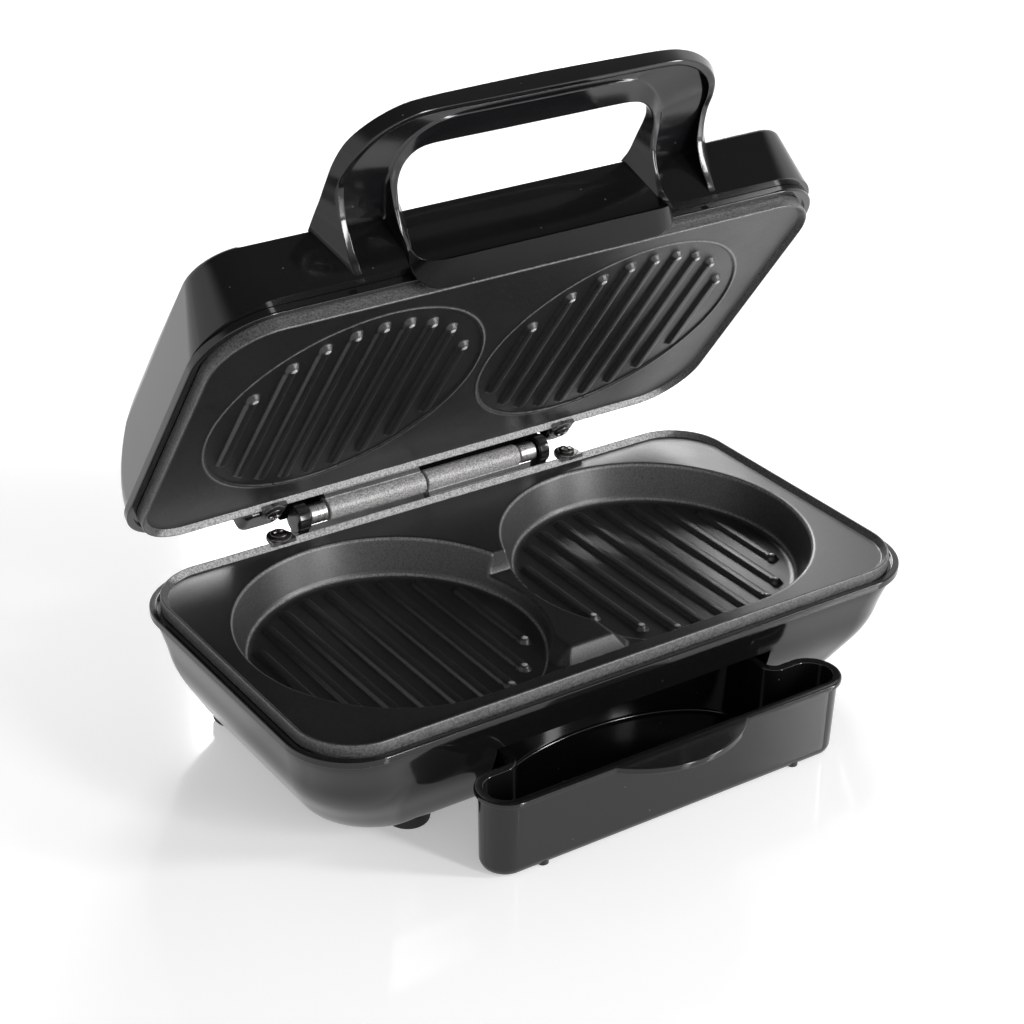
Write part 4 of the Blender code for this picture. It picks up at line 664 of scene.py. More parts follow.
# Places of the plates' mesh points: across and behind a rib, round its head, round the pockets and
# the flat circles, in from the plate's edge, and a close grid over the web and the saddle
RIB_ACROSS = (-5.4, -3.8, -3.1, -2.8, -2.5, -2.2, -1.8, -1.5, -1.0, 0.0, 1.0, 1.5, 1.8, 2.2, 2.5, 2.8, 3.1, 3.8)
RIB_BEHIND = np.array((0.5, 1.0, 1.5, 1.9, 2.3, 2.7, 3.0))
HEAD_RADII = (0.3, 0.6, 0.9, 1.2, 1.45, 1.7, 1.95, 2.15, 2.35, 2.5, 2.65, 2.8, 3.2)
UPPER_RADII = (54.2, 54.6, 55.0, 55.25, 55.5, 55.8, 56.2, 56.55, 56.9, 57.2, 57.8)
BORDER_INSETS = (0.02, 0.12, 0.3, 0.6, 0.72, 0.85, 1.7, 2.55, 2.65, 2.75, 3.0, 3.8)
BORDER_SPACING = 1.5
CIRCLE_POINTS = 240
MIDDLE_X, MIDDLE_Y = np.arange(-19.2, 19.3, 0.6), np.arange(-46.2, 24.1, 0.6)


def ring_points(centre, radii, steps):
    angles = np.arange(steps) * math.tau / steps
    return [(centre[0] + radius * math.cos(angle), centre[1] + radius * math.sin(angle))
            for radius in radii for angle in angles]


def grid_points(xs, ys):
    return [(float(x), float(y)) for y in ys for x in xs]


def rib_ends(centre_y, offset):
    return (centre_y - math.sqrt(RIB_HEAD_R ** 2 - offset ** 2),
            centre_y + math.sqrt(RIB_TAIL_R ** 2 - offset ** 2) - RIB_TAIL)


def rib_points(centre_x, centre_y):
    points = []
    for offset in RIB_OFFSETS:
        front, back = rib_ends(centre_y, offset)
        columns = [centre_x + offset + u for u in RIB_ACROSS]
        points += grid_points(columns, np.linspace(front + 3.6, back, int((back - front) / 1.7)))
        points += grid_points(columns, back + RIB_BEHIND)
        points += ring_points((centre_x + offset, front), HEAD_RADII, 28)
        points.append((centre_x + offset, front))
    return points


def clear_of_ribs(points, centre_x, centre_y):
    """The points that stay away from every rib and its round head."""
    x, y = np.array(points).T
    keep = np.ones(len(x), dtype=bool)
    for offset in RIB_OFFSETS:
        front, back = rib_ends(centre_y, offset)
        keep &= np.hypot(x - centre_x - offset, y - np.clip(y, front, back + 0.5)) > 3.6
    return list(zip(x[keep], y[keep]))


def border_points():
    half, front, back, corner = PLATE_SIZE
    points = []
    for inset in BORDER_INSETS:
        loop = plan(half - inset, front - inset, back - inset, corner - inset, 24)
        for first, last in zip(loop, loop[1:] + loop[:1]):
            pieces = max(1, int(math.dist(first, last) / BORDER_SPACING))
            points += [(first[0] + (last[0] - first[0]) * s / pieces, first[1] + (last[1] - first[1]) * s / pieces)
                       for s in range(pieces)]
    return points


def cast_face(points, height, sense):
    """Delaunay skin over the points, its heights read from a field, with a skirt down to the back;
    sense is 1 for a plate that faces up and -1 for one that faces down."""
    skirt_height = -3.0
    points = [(round(x, 4), round(y, 4)) for x, y in points if border_inset(np.array(x), np.array(y)) > 0.01]
    places, _, faces, *_ = delaunay_2d_cdt([Vector(point) for point in sorted(set(points))], [], [], 0, 0.02)
    x = np.array([place.x for place in places])
    y = np.array([place.y for place in places])
    z = height(x, y) * sense
    mesh = bmesh.new()
    verts = [mesh.verts.new((a, b, c)) for a, b, c in zip(x, y, z)]
    for face in faces:
        mesh.faces.new([verts[index] for index in face])
    rim = [edge for edge in mesh.edges if len(edge.link_faces) == 1]
    skirt = bmesh.ops.extrude_edge_only(mesh, edges=rim)["geom"]
    for vert in [item for item in skirt if isinstance(item, bmesh.types.BMVert)]:
        vert.co.z = skirt_height * sense
    return mesh


BARREL_BORE, BARREL_END = 2.3, ((4.0, 0.0), (4.35, 0.15), (4.5, 0.5))


def add_lug(mesh, x_low, x_high, sense):
    """Hinge barrel with its web behind a plate's rear edge."""
    web = [(68.9, -2.7), (68.9, 1.1), (70.0, HINGE_RISE - 1.8), (HINGE_BACK + 2.7, HINGE_RISE - 2.7), (71.7, -2.7)]
    prism(mesh, [(y, z * sense) for y, z in web], x_low + 0.3, x_high - 0.3)
    tube(mesh, x_low, x_high, BARREL_BORE, BARREL_END, HINGE_RISE * sense)


def add_ears(mesh, sense):
    """Two round ears for the plate's screws, each with a neck."""
    top = EAR_TOP * sense
    profile = [(1.8, top - 2.0 * sense), (4.6, top - 2.0 * sense), (5.0, top - 1.6 * sense), (5.0, top - 0.4 * sense),
               (4.85, top - 0.1 * sense), (4.5, top), (1.8, top)]
    for x in (-EAR_X, EAR_X):
        turned(mesh, profile, (x, EAR_Y, 0))
        neck = [(x - 5.0, 66.5), (x + 5.0, 66.5), (x + 5.0, EAR_Y), (x - 5.0, EAR_Y)]
        stack(mesh, [(neck, top + shift * sense) for shift in (-1.8, -0.2)])


def field_points():
    """Points of a flat plate: its border rings and a wide grid."""
    return border_points() + grid_points(np.linspace(-124, 124, 63), np.linspace(-64, 64, 33))


def lower_points():
    wall_radii = sorted({round(float(point[0]), 2) for point in POCKET_WALL if 50 < point[0] < 63})
    points = [(x, y) for x, y in field_points() if math.hypot(abs(x) - POCKET_X, y) > 62.5]
    for side in (-1, 1):
        ring = ring_points((side * POCKET_X, 0.0), wall_radii + [55.8, 56.6, 57.4, 58.2, 61.8], CIRCLE_POINTS)
        points += clear_of_ribs(ring, side * POCKET_X, 0.0)
    points = [(x, y) for x, y in points if abs(x) > 19.6 or y < -46.6 or y > 24.4]
    middle = grid_points(MIDDLE_X, MIDDLE_Y)
    for side in (-1, 1):
        middle = clear_of_ribs(middle, side * POCKET_X, 0.0)
        points += rib_points(side * POCKET_X, 0.0)
    points += middle
    points += grid_points(np.arange(-57.6, 57.7, 1.6), [-radius for radius in wall_radii + [56.4, 57.6, 62.4]])
    return points + ring_points((0.0, DRAIN_Y), (1.0, 2.7, 3.0, 3.5, 4.2), 24)


def upper_points():
    points, ribs = field_points(), []
    for side in (-1, 1):
        points = points + ring_points((side * UPPER_X, UPPER_Y), UPPER_RADII, CIRCLE_POINTS)
        points = clear_of_ribs(points, side * UPPER_X, UPPER_Y)
        ribs += rib_points(side * UPPER_X, UPPER_Y)
    return points + ribs


def make_plates():
    mesh = cast_face(lower_points(), lower_height, 1)
    add_lug(mesh, -0.55, 43.75, 1)
    add_ears(mesh, 1)
    finish_piece("lower_plate_cast", mesh, "base", ("lower_plate", "lower_hinge_barrel"), "non_stick_coating", 55)

    mesh = cast_face(upper_points(), upper_height, -1)
    add_lug(mesh, -45.75, -1.45, -1)
    add_ears(mesh, -1)
    plate = finish_piece("upper_plate_cast", mesh, "lid", ("upper_plate", "upper_hinge_barrel"),
                         "non_stick_coating", 55)
    plate.data.materials[0] = LID_COATING


# Housings

RIM_HALF, RIM_FRONT, RIM_BACK, RIM_CORNER = 133.0, 72.5, 72.5, 26.0
BAY_HALF, BAY_FRONT, PAST_BACK = 62.5, 61.2, 90.0


def plan_row(height, half, front, back, corner):
    corner = min(corner, half - 1, (front + back) / 2 - 1)
    return [Vector((x, y, height)) for x, y in plan(half, front, back, corner, 24)]


def rim_row(height, side, front, back):
    """Outline of a housing at a height, drawn in from its rim by three distances."""
    return plan_row(height, RIM_HALF - side, RIM_FRONT - front, RIM_BACK - back, RIM_CORNER)


def carve(mesh, tools):
    """Cut closed shapes out of a bmesh with exact Booleans and give back the result."""
    def stand_in(shape, name):
        bmesh.ops.recalc_face_normals(shape, faces=shape.faces)
        data = bpy.data.meshes.new(name)
        shape.to_mesh(data)
        shape.free()
        return add_object(name, data)

    body = stand_in(mesh, "blank")
    cutters = [stand_in(shape, "cutter") for shape in tools]
    for cutter in cutters:
        modifier = body.modifiers.new("cut", "BOOLEAN")
        modifier.operation = "DIFFERENCE"
        modifier.solver = "EXACT"
        modifier.object = cutter
    bpy.context.view_layer.update()
    result = bmesh.new()
    result.from_mesh(body.evaluated_get(bpy.context.evaluated_depsgraph_get()).data)
    for piece in [body] + cutters:
        bpy.data.objects.remove(piece, do_unlink=True)
    return result


def block(low, high):
    """Closed box with its upright edges just broken."""
    half, depth = (high[0] - low[0]) / 2, (high[1] - low[1]) / 2
    middle = Vector(((low[0] + high[0]) / 2, (low[1] + high[1]) / 2, 0))
    rows = [[Vector((x, y, z)) + middle for x, y in plan(half, depth, depth, 0.01, 1)] for z in (low[2], high[2])]
    return skin(bmesh.new(), rows, caps=True)


def hinge_bay(low, high):
    """The gap at the middle of a housing's back, where the hinge stands."""
    return block((-BAY_HALF, BAY_FRONT, low), (BAY_HALF, PAST_BACK, high))


# How far a wall is drawn in on its way down, as shares of its depth and of its whole draw
WALL_CURVE = ((0.0, 0.0), (0.21, 0.12), (0.38, 0.20), (0.52, 0.31), (0.69, 0.51), (0.83, 0.68), (0.93, 0.83),
              (1.0, 1.0))
WALL_TOP, WALL_DEEP, WALL_START, WALL_THICK = -6.5, 41.5, 1.6, 2.5
WALL_DRAW = (19.9, 18.9, 15.9)


def make_base_housing():
    outer = []
    for deep, drawn in flow(WALL_CURVE, 4):
        outer.append((WALL_TOP - WALL_DEEP * deep, *(WALL_START + draw * drawn for draw in WALL_DRAW)))
    outer.reverse()
    edge = soften(((WALL_TOP, WALL_START), (-4.9, 1.5), (-4.7, 0.0), (-1.8, 0.0), (-1.8, 2.0), (-3.3, 2.0),
                   (-3.3, 6.0), (-8.0, 6.0)), (0.5, 0.5, 0.55, 0.35, 0.1, 0.1), 4)
    rim = [(z, inset, inset, inset) for z, inset in edge[1:]]
    inner = [(z, *(inset + WALL_THICK for inset in insets)) for z, *insets in reversed(outer[::3])]
    mesh = skin(bmesh.new(), [rim_row(*level) for level in outer + rim + inner], ring=True)
    tray_opening = block((-61.0, -PAST_BACK, -70.0), (61.0, -43.5, -18.0))
    lead_hole = turned(bmesh.new(), ((6.3, 45.5), (6.3, 80.0)), (85.0, 0, -26.0), axis="Y")
    mesh = carve(mesh, (tray_opening, hinge_bay(-6.0, 4.0), lead_hole))
    finish_piece("base_shell", mesh, "base", ("base_housing",), "gloss_black_plastic", 40)


LID_FRONT = 77.0
LID_WALL_FOOT, LID_WALL_HIGH, LID_EDGE_R, LID_EDGE_STEPS = 5.3, 21.1, 2.4, 6
LID_BACK_FOOT, LID_BACK, LID_BACK_TOP, LID_BACK_ROUND = 6.0, 71.9, 10.0, 27.0


def lid_back(height):
    """Distance of the lid's rounded back from the middle, at a height."""
    if height <= LID_BACK_FOOT:
        return LID_BACK
    share = (height - LID_BACK_FOOT) / LID_BACK_ROUND
    return LID_BACK_TOP + (LID_BACK - LID_BACK_TOP) * math.sqrt(max(1.0 - share ** 2, 0.0))


def make_lid_housing():
    profile = [(LID_WALL_FOOT + LID_WALL_HIGH * share, LID_FRONT) for share in np.linspace(0.0, 1.0, 13)]
    edge_start = profile[-1][0]
    for step in range(1, LID_EDGE_STEPS + 1):
        angle = math.radians(87.0 * step / LID_EDGE_STEPS)
        profile.append((edge_start + LID_EDGE_R * math.sin(angle), LID_FRONT - LID_EDGE_R * (1 - math.cos(angle))))
    wall = []
    for height, front in profile:
        share = (height - LID_WALL_FOOT) / (LID_WALL_HIGH + LID_EDGE_R)
        wall.append((height, 0.6 + 5.6 * share, front, lid_back(height), 28.0 - 12.0 * share))
    crown = [wall.pop()]
    crown += [(height, side, front, lid_back(height), 16.0)
              for height, side, front in ((30.1, 6.8, 50.8), (31.5, 7.6, 26.2), (32.6, 12.2, 6.2))]
    inside = [(3.3, 6.0), (3.3, 2.0), (2.2, 2.0)]
    edge = soften(((2.2, 6.0), (2.2, 0.0), (5.2, 0.0), (5.2, 0.6)), (0.5, 0.25), 4)[1:]
    rows = [rim_row(z, inset, inset, inset) for z, inset in inside + edge]
    rows += [plan_row(z, RIM_HALF - side, front, back, corner)
             for z, side, front, back, corner in wall + soften(crown, (6.0, 6.0), 5)]
    mesh = carve(skin(bmesh.new(), rows, caps=True), (hinge_bay(-4.0, 8.0),))
    finish_piece("lid_shell", mesh, "lid", ("lid_housing",), "gloss_black_plastic", 40)


# Handle ring, from curves that run from the lid's front wall to the middle of the bar

OUTER_LIP = ((76.6, -76.2, 4.2), (76.9, -78.4, 11.1), (76.9, -80.9, 17.0), (77.1, -84.1, 22.7), (77.5, -88.2, 26.4),
             (78.1, -94.5, 30.0), (77.4, -103.1, 31.2), (74.2, -111.2, 31.9), (67.9, -117.8, 33.1),
             (59.0, -122.6, 33.8), (48.5, -124.5, 34.0), (24.0, -124.5, 34.0), (0.0, -124.5, 34.0))
TOP_RIDGE = ((84.6, -73.8, 28.2), (84.2, -78.8, 29.1), (83.6, -81.2, 30.0), (82.8, -84.4, 31.1), (81.9, -88.0, 32.3),
             (81.3, -95.0, 33.8), (80.2, -103.5, 35.6), (76.6, -111.0, 37.6), (69.6, -117.0, 39.0),
             (60.5, -121.3, 40.0), (49.5, -122.7, 40.9), (24.0, -122.6, 41.7), (0.0, -122.6, 42.0))
INNER_RIM = ((55.2, -76.2, 6.4), (54.3, -78.7, 11.2), (54.9, -80.9, 17.0), (55.4, -84.0, 22.1), (56.0, -87.4, 25.5),
             (56.9, -92.5, 29.0), (56.5, -97.2, 31.6), (54.4, -102.2, 33.6), (50.4, -107.2, 35.3),
             (44.6, -111.5, 36.2), (36.0, -114.2, 36.4), (18.0, -114.5, 36.4), (0.0, -114.5, 36.4))
OPENING_EDGE = ((52.0, -76.2, 7.4), (52.6, -77.9, 11.2), (53.3, -80.6, 17.0), (53.6, -84.2, 22.6), (53.9, -87.8, 25.9),
                (54.2, -92.0, 28.6), (53.3, -96.4, 30.9), (51.0, -99.6, 32.7), (47.5, -101.8, 34.0),
                (42.5, -102.4, 34.9), (34.0, -102.3, 35.2), (18.0, -102.2, 35.2), (0.0, -102.2, 35.2))
OPENING_TOP = ((45.5, -73.8, 28.2), (48.0, -78.5, 29.1), (49.2, -80.6, 29.9), (50.0, -83.6, 30.9), (50.8, -87.0, 32.0),
               (51.8, -91.5, 33.3), (52.0, -95.5, 34.5), (50.6, -99.2, 36.0), (47.4, -101.6, 37.2),
               (42.5, -102.6, 38.4), (34.0, -102.6, 39.8), (18.0, -102.6, 40.6), (0.0, -102.6, 40.8))
RING_STEPS = 5
STRIP_TOP, STRIP_HALF = 6.0, 57.0


def inward(line, distance):
    """The curve moved towards the ring's middle in plan; near the lid, straight across."""
    moved = []
    for index, point in enumerate(line):
        before, after = line[max(index - 1, 0)], line[min(index + 1, len(line) - 1)]
        along = after[:2] - before[:2]
        along = along / (np.linalg.norm(along) + 1e-9)
        side = np.array((along[1], -along[0]))
        if side @ (np.array((0.0, -LID_FRONT)) - point[:2]) < 0:
            side = -side
        if index < 4:
            side = np.array((-1.0, 0.0))
        moved.append(np.array((*(point[:2] + side * distance), point[2])))
    return moved


def make_handle():
    lip, ridge, rim, edge, top = [flow(line, RING_STEPS) for line in
                                  (OUTER_LIP, TOP_RIDGE, INNER_RIM, OPENING_EDGE, OPENING_TOP)]
    roof_drop = 2.4
    rows = []
    for a, b, b_in, a_in, r, e, t in zip(lip, ridge, inward(ridge, 3.4), inward(lip, 3.0), rim, edge, top):
        roof = b_in.copy()
        roof[2] = b[2] - roof_drop
        deep = r * 0.97 + a_in * 0.03
        deep[2] = max(t[2] - roof_drop, r[2] + 0.5)
        curve = soften_loop([a, b, t, e, r, deep, roof, a_in], (0.7, 0.6, 0.8, 0.7, 0.5, 1.2, 1.2, 0.7))
        rows.append([Vector(point) for point in curve])
    mesh = mirrored_skin(bmesh.new(), rows)
    add_strip(mesh)
    handle = finish_piece("handle_ring", mesh, "lid", ("handle",), "satin_black_plastic", 38)
    handle.data.materials.append(STRIP_PLASTIC)
    back = TO_LID.inverted()
    for face in handle.data.polygons:
        place = back @ face.center
        if place.z < STRIP_TOP and abs(place.x) < STRIP_HALF:
            face.material_index = 1


LOOP_OUTER = ((54.4, -78.5, 10.9), (55.4, -77.7, 7.0), (55.8, -76.7, 4.0), (55.2, -75.9, 1.6), (53.6, -75.0, -0.6),
              (51.6, -74.0, -2.0), (49.0, -73.1, -3.0), (45.5, -72.8, -3.6), (30.0, -72.8, -3.7), (0.0, -72.8, -3.7))
LOOP_INNER = ((52.5, -78.1, 11.0), (52.0, -78.6, 7.6), (51.2, -80.4, 4.8), (50.0, -82.5, 2.7), (48.3, -84.1, 1.3),
              (46.2, -84.9, 0.6), (43.5, -85.2, 0.35), (38.0, -85.2, 0.35), (20.0, -85.2, 0.35), (0.0, -85.2, 0.35))
LOOP_OUTER_BACK = ((54.4, -76.2, 10.9), (55.4, -76.2, 7.0), (55.8, -75.6, 4.2), (55.0, -74.8, 3.0), (53.4, -74.0, 2.2),
                   (51.4, -73.3, 2.0), (49.0, -72.6, 2.0), (45.5, -72.4, 2.0), (30.0, -72.4, 2.0), (0.0, -72.4, 2.0))
LOOP_INNER_BACK = [(point[0], -76.2, z) for point, z in zip(LOOP_INNER, (11.0, 8.2, 6.4, 5.6, 5.2) + 5 * (5.0,))]
LOOP_STEPS = 4


def add_strip(mesh):
    """The inner rim carried round below the finger gap, as one band with rounded lower corners."""
    lines = [flow(line, LOOP_STEPS) for line in (LOOP_INNER, LOOP_OUTER, LOOP_OUTER_BACK, LOOP_INNER_BACK)]
    rows = [[Vector(point) for point in soften_loop(section, (0.55, 0.55, 0.2, 0.2))] for section in zip(*lines)]
    mirrored_skin(mesh, rows)


# Drip tray

TRAY_FRONT, TRAY_TOP = 94.2, -22.0
LOBE_X, LOBE_R = 67.8, 11.0
NECK_X, NECK_FILLET = 58.0, 4.0
BOW_Y, BOW_DEPTH = -60.0, 29.0
GRIP_HALF, GRIP_REACH = 29.2, 11.2
TRAY_STEPS = 12


def tray_plan(inset):
    """The tray's outline: straight front, a round lobe at each end, and a bowed back between two necks."""
    radius, fillet, neck = LOBE_R - inset, NECK_FILLET + inset, NECK_X - inset
    lobe_y = LOBE_R - TRAY_FRONT
    right = [(x, inset - TRAY_FRONT) for x in np.linspace(0, 66, 12)]
    right += arc((LOBE_X, lobe_y), (radius, radius), -math.pi / 2, math.pi, 2 * TRAY_STEPS)
    right += arc((neck + fillet, lobe_y + radius + fillet), (fillet, fillet), -math.pi / 2, -math.pi / 2,
                 TRAY_STEPS)[1:]
    right += arc((0.0, BOW_Y), (neck, BOW_DEPTH - inset), 0.0, math.pi / 2, 3 * TRAY_STEPS)
    return right + [(-x, y) for x, y in reversed(right[1:-1])]


def make_tray():
    profile = soften(((2.9, -52.5), (2.2, -51.0), (1.4, -24.2), (0.0, -23.9), (0.0, TRAY_TOP), (3.4, TRAY_TOP),
                      (4.6, -50.5), (12.0, -50.5)), (0.8, 0.5, 0.4, 0.7, 0.6, 1.6), 4)
    mesh = stack(bmesh.new(), [(tray_plan(min(inset, 7.0)), z) for inset, z in profile])
    radius = (GRIP_HALF ** 2 + GRIP_REACH ** 2) / (2 * GRIP_REACH)
    swing = math.asin(GRIP_HALF / radius)
    levels = []
    for inset, z in soften(((0.9, -24.8), (0.0, -24.4), (0.0, -22.1), (0.9, -22.05)), (0.4, 0.5), 3):
        bow = arc((0.0, radius - TRAY_FRONT - GRIP_REACH), (radius - inset, radius - inset),
                  -math.pi / 2 - swing, 2 * swing, 32)
        levels.append((bow + [(GRIP_HALF - 1, -92.6), (1 - GRIP_HALF, -92.6)], z))
    stack(mesh, levels)
    for x, y in ((-56, -89.5), (56, -89.5), (-35, -48), (35, -48)):
        turned(mesh, ((2.0, -54.0), (2.2, -53.8), (2.2, -51.8)), (x, y, 0), 20)
    finish_piece("drip_tray_shell", mesh, "tray", ("drip_tray",), "gloss_black_plastic", 38)


# Hinge and small parts

SLEEVE_END = ((3.5, 0.0), (3.85, 0.2), (4.0, 0.6))
CHEEK_BORE, CHEEK_END = 2.4, ((5.1, 0.0), (5.6, 0.25), (5.8, 0.7))
CHEEK_FOOT = ((69.9, HINGE_RISE), (69.9, -3.0), (75.8, -3.0), (75.8, 1.2), (78.5, HINGE_RISE - 1.6))


def make_hinge_parts():
    for word, low, high in (("left", -54.15, -46.35), ("right", 44.35, 52.15)):
        mesh = tube(bmesh.new(), low, high, BARREL_BORE, SLEEVE_END, HINGE_RISE)
        finish_piece(f"sleeve_{word}", mesh, "base", (f"hinge_sleeve_{word}",), "dull_steel", 40)
    foot = soften(CHEEK_FOOT, (0.6, 0.6, 0.8), 3)
    for word, low, high in (("left", -60.4, -54.75), ("right", 52.75, 57.4)):
        mesh = tube(bmesh.new(), low, high, CHEEK_BORE, CHEEK_END, HINGE_RISE)
        prism(mesh, foot, low + 0.5, high - 0.5)
        finish_piece(f"cheek_{word}", mesh, "base", (f"hinge_cheek_{word}",), "satin_black_plastic", 40)


# Side outlines of the two covers behind the hinge, with a reach for each corner
COVER_HALF, COVER_NOSE = 62.2, 0.4
SHELF = ((69.5, -5.7), (69.5, -3.3), (82.1, -3.3), (82.1, -4.6), (71.6, -12.5), (71.6, -5.7))
SHELF_REACHES = (0.1, 0.2, 0.5, 0.5, 0.6, 0.2)
GUARD = ((69.2, 7.7), (77.8, 7.7), (80.8, 4.7), (80.8, -2.8), (79.2, -2.8), (79.2, 3.2), (76.3, 6.1), (69.2, 6.1))
GUARD_REACHES = (0.3, 1.2, 1.2, 0.5, 0.5, 1.0, 1.0, 0.3)


def make_hinge_cover(name, outline, reaches, body, replaced):
    """Solid strip across the object, with its ends drawn in a little."""
    line = soften_loop(outline, reaches)
    middle = sum(line) / len(line)
    rows = []
    for x, shrink in ((-COVER_HALF, COVER_NOSE), (COVER_NOSE - COVER_HALF, 0.0), (COVER_HALF - COVER_NOSE, 0.0),
                      (COVER_HALF, COVER_NOSE)):
        row = [point + (middle - point) / max(np.linalg.norm(middle - point), 0.1) * shrink for point in line]
        rows.append([Vector((x, point[0], point[1])) for point in row])
    cover = finish_piece(name, skin(bmesh.new(), rows, caps=True), body, (replaced,), "satin_black_plastic", 40)
    cover.data.materials[0] = DULL_PLASTIC


BOSS_FRONT = 70.4


def make_rear_bosses():
    """Lumps behind the lid's rear edge, outside the hinge: a long one at the left, a round one at the right."""
    for word, low, high, deep in (("left", -80.0, -62.0, 83.0), ("right", 63.0, 73.0, 81.0)):
        half, middle, reach = (high - low) / 2, (high + low) / 2, (deep - BOSS_FRONT) / 2
        levels = []
        for z, shrink in ((9.0, 0.0), (0.6, 0.0), (-1.2, 0.3), (-2.2, 1.2), (-2.7, 2.6)):
            outline = plan(half - shrink, reach - shrink * 0.6, reach - shrink, 3.4 - shrink * 0.4, 8)
            levels.append(([(middle + x, (deep + BOSS_FRONT) / 2 + y) for x, y in outline], z))
        finish_piece(f"rear_boss_{word}", stack(bmesh.new(), levels), "lid", (), "satin_black_plastic", 40)


SCREW_PROFILE = ((1.5, -2.0), (1.5, 0.0), (3.1, 0.0), (3.35, 0.12), (3.4, 0.45), (3.2, 0.75), (2.7, 1.02), (2.2, 1.12),
                 (1.7, 1.17), (1.2, 1.2), (0.8, 1.2), (0.4, 1.2))
SCREW_SEAT = 3.5
CROSS_HALF, CROSS_REACH, CROSS_DEEP = 0.42, 2.1, 0.65


def screw_shape(x, sense):
    """Pan head with a cross recess, as a small field of rings."""
    rows = []
    for radius, height in SCREW_PROFILE:
        row = []
        for step in range(48):
            angle = math.tau * step / 48
            a, b = radius * math.cos(angle), radius * math.sin(angle)
            in_cross = height > 1.0 and min(abs(a), abs(b)) < CROSS_HALF and radius < CROSS_REACH
            z = height - CROSS_DEEP if in_cross else height
            row.append(Vector((x + a, EAR_Y + b, sense * (SCREW_SEAT + z))))
        rows.append(row)
    return skin(bmesh.new(), rows, caps=True)


def make_screws():
    for word, x in (("left", -EAR_X), ("right", EAR_X)):
        for place, body, sense in (("lower", "base", 1), ("upper", "lid", -1)):
            finish_piece(f"screw_{place}_{word}", screw_shape(x, sense), body,
                         (f"{place}_plate_screw_{word}",), "blackened_screw_steel", 50)


def make_feet():
    profile = soften(((8.5, -48.3), (8.1, -52.6), (6.6, -53.7), (5.9, -54.0), (0.5, -54.0)), (0.8, 0.6, 0.3), 4)
    for name, x, y in (("front_left", -82, -43.5), ("front_right", 82, -43.5), ("back_left", -103, 45.5),
                       ("back_right", 103, 45.5)):
        mesh = turned(bmesh.new(), [(float(row[0]), float(row[1])) for row in profile], (x, y, 0), 40)
        finish_piece(f"rubber_foot_{name}", mesh, "base", (f"foot_{name}",), "black_foot_rubber", 40)


make_plates()
make_base_housing()
make_lid_housing()
make_handle()
make_tray()
make_hinge_parts()
make_hinge_cover("hinge_shelf_ledge", SHELF, SHELF_REACHES, "base", "hinge_shelf")
make_hinge_cover("hinge_cover_guard", GUARD, GUARD_REACHES, "lid", "hinge_cover")
make_rear_bosses()
make_screws()
make_feet()
dress_nodes()


# Camera, floor and light

CAMERA_PLACE = (-0.45109, -0.61406, 0.49077)
CAMERA_AZIMUTH, CAMERA_ELEVATION = -0.55854, 0.45358
CAMERA_LENS, CAMERA_SENSOR, CAMERA_SHIFT = 82.524, 36.0, (0.11973, -0.08717)
LAMP_TARGET = (0.0, 0.0, 0.08)
FLOOR_GLOW = 0.34
WHITE = (1.0, 1.0, 1.0)


def make_camera():
    data = bpy.data.cameras.new("photo_camera")
    data.lens, data.sensor_width = CAMERA_LENS, CAMERA_SENSOR
    data.shift_x, data.shift_y = CAMERA_SHIFT
    camera = add_object("photo_camera", data)
    turn, lift = CAMERA_AZIMUTH, CAMERA_ELEVATION
    back = Vector((math.sin(turn) * math.cos(lift), -math.cos(turn) * math.cos(lift), math.sin(lift)))
    right = Vector((math.cos(turn), math.sin(turn), 0.0))
    view = Matrix((right, back.cross(right), back)).transposed().to_4x4()
    view.translation = CAMERA_PLACE
    camera.matrix_world = view
    bpy.context.scene.camera = camera


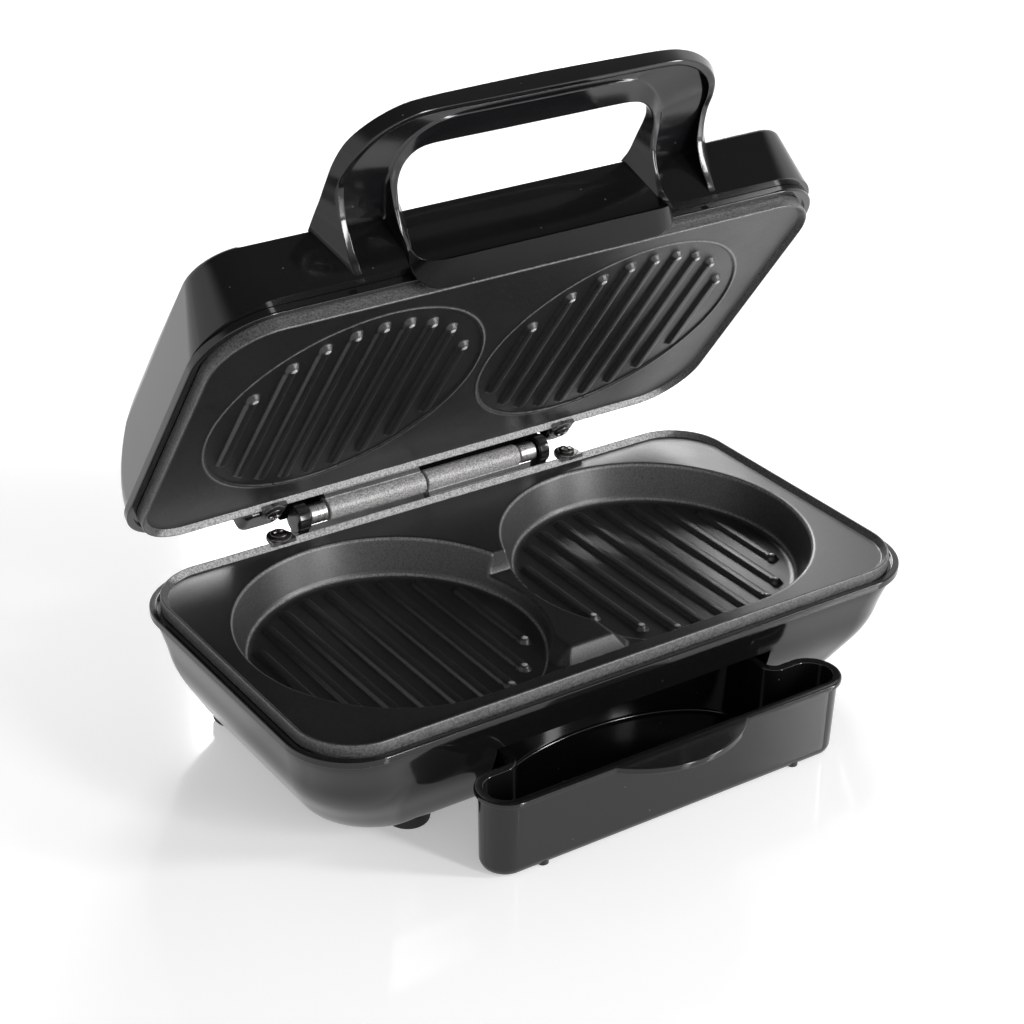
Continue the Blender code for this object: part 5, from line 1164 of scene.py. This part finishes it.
def make_floor():
    data = bpy.data.meshes.new("studio_floor")
    mesh = bmesh.new()
    bmesh.ops.create_grid(mesh, x_segments=1, y_segments=1, size=6.0)
    mesh.to_mesh(data)
    mesh.free()
    floor = add_object("studio_floor", data)
    material, kit, shader = new_material("pale_table", Roughness=0.10, Specular_IOR_Level=0.5)
    kit.feed(shader["Base Color"], kit.mix(kit.noise(kit.place(), 3.0), (0.90, 0.90, 0.905), (0.92, 0.92, 0.92)))
    ray = kit.add("ShaderNodeLightPath")
    seen = kit.math("MAXIMUM", ray.outputs["Is Camera Ray"], ray.outputs["Is Glossy Ray"])
    kit.fill(shader, Emission_Strength=kit.times(seen, FLOOR_GLOW), Emission_Color=WHITE)
    data.materials.append(material)


def make_world():
    """Bright low backdrop under a dim ceiling, and plain white where the camera looks past the object."""
    world = bpy.data.worlds.new("pale_studio")
    bpy.context.scene.world = world
    world.use_nodes = True
    world.node_tree.nodes.clear()
    kit = Nodes(world.node_tree)
    up = kit.parts(kit.add("ShaderNodeTexCoord").outputs["Generated"])["Z"]
    backdrop, plain = kit.add("ShaderNodeBackground"), kit.add("ShaderNodeBackground")
    kit.fill(backdrop.inputs, Strength=kit.ramp(up, 0.45, 0.75, 1.0, 0.10), Color=WHITE)
    kit.feed(plain.inputs["Color"], WHITE)
    pick = kit.add("ShaderNodeMixShader")
    kit.feed(pick.inputs[0], kit.add("ShaderNodeLightPath").outputs["Is Camera Ray"])
    kit.feed(pick.inputs[1], backdrop.outputs[0])
    kit.feed(pick.inputs[2], plain.outputs[0])
    kit.feed(kit.add("ShaderNodeOutputWorld").inputs["Surface"], pick.outputs[0])


def make_lamp(name, place, size, power):
    data = bpy.data.lights.new(name, "AREA")
    data.shape = "RECTANGLE"
    data.size, data.size_y = size
    data.energy = power
    lamp = add_object(name, data)
    lamp.location = place
    lamp.rotation_euler = (Vector(LAMP_TARGET) - Vector(place)).to_track_quat("-Z", "Y").to_euler()


make_camera()
make_floor()
make_world()
make_lamp("front_strip", (0.59, -1.61, 0.64), (0.2, 1.0), 17.0)
make_lamp("right_strip", (1.27, -1.15, 0.64), (0.2, 1.0), 17.0)
make_lamp("back_right_softbox", (0.86, 1.37, 0.84), (0.55, 0.55), 14.0)

bpy.context.scene.view_settings.view_transform = "Standard"
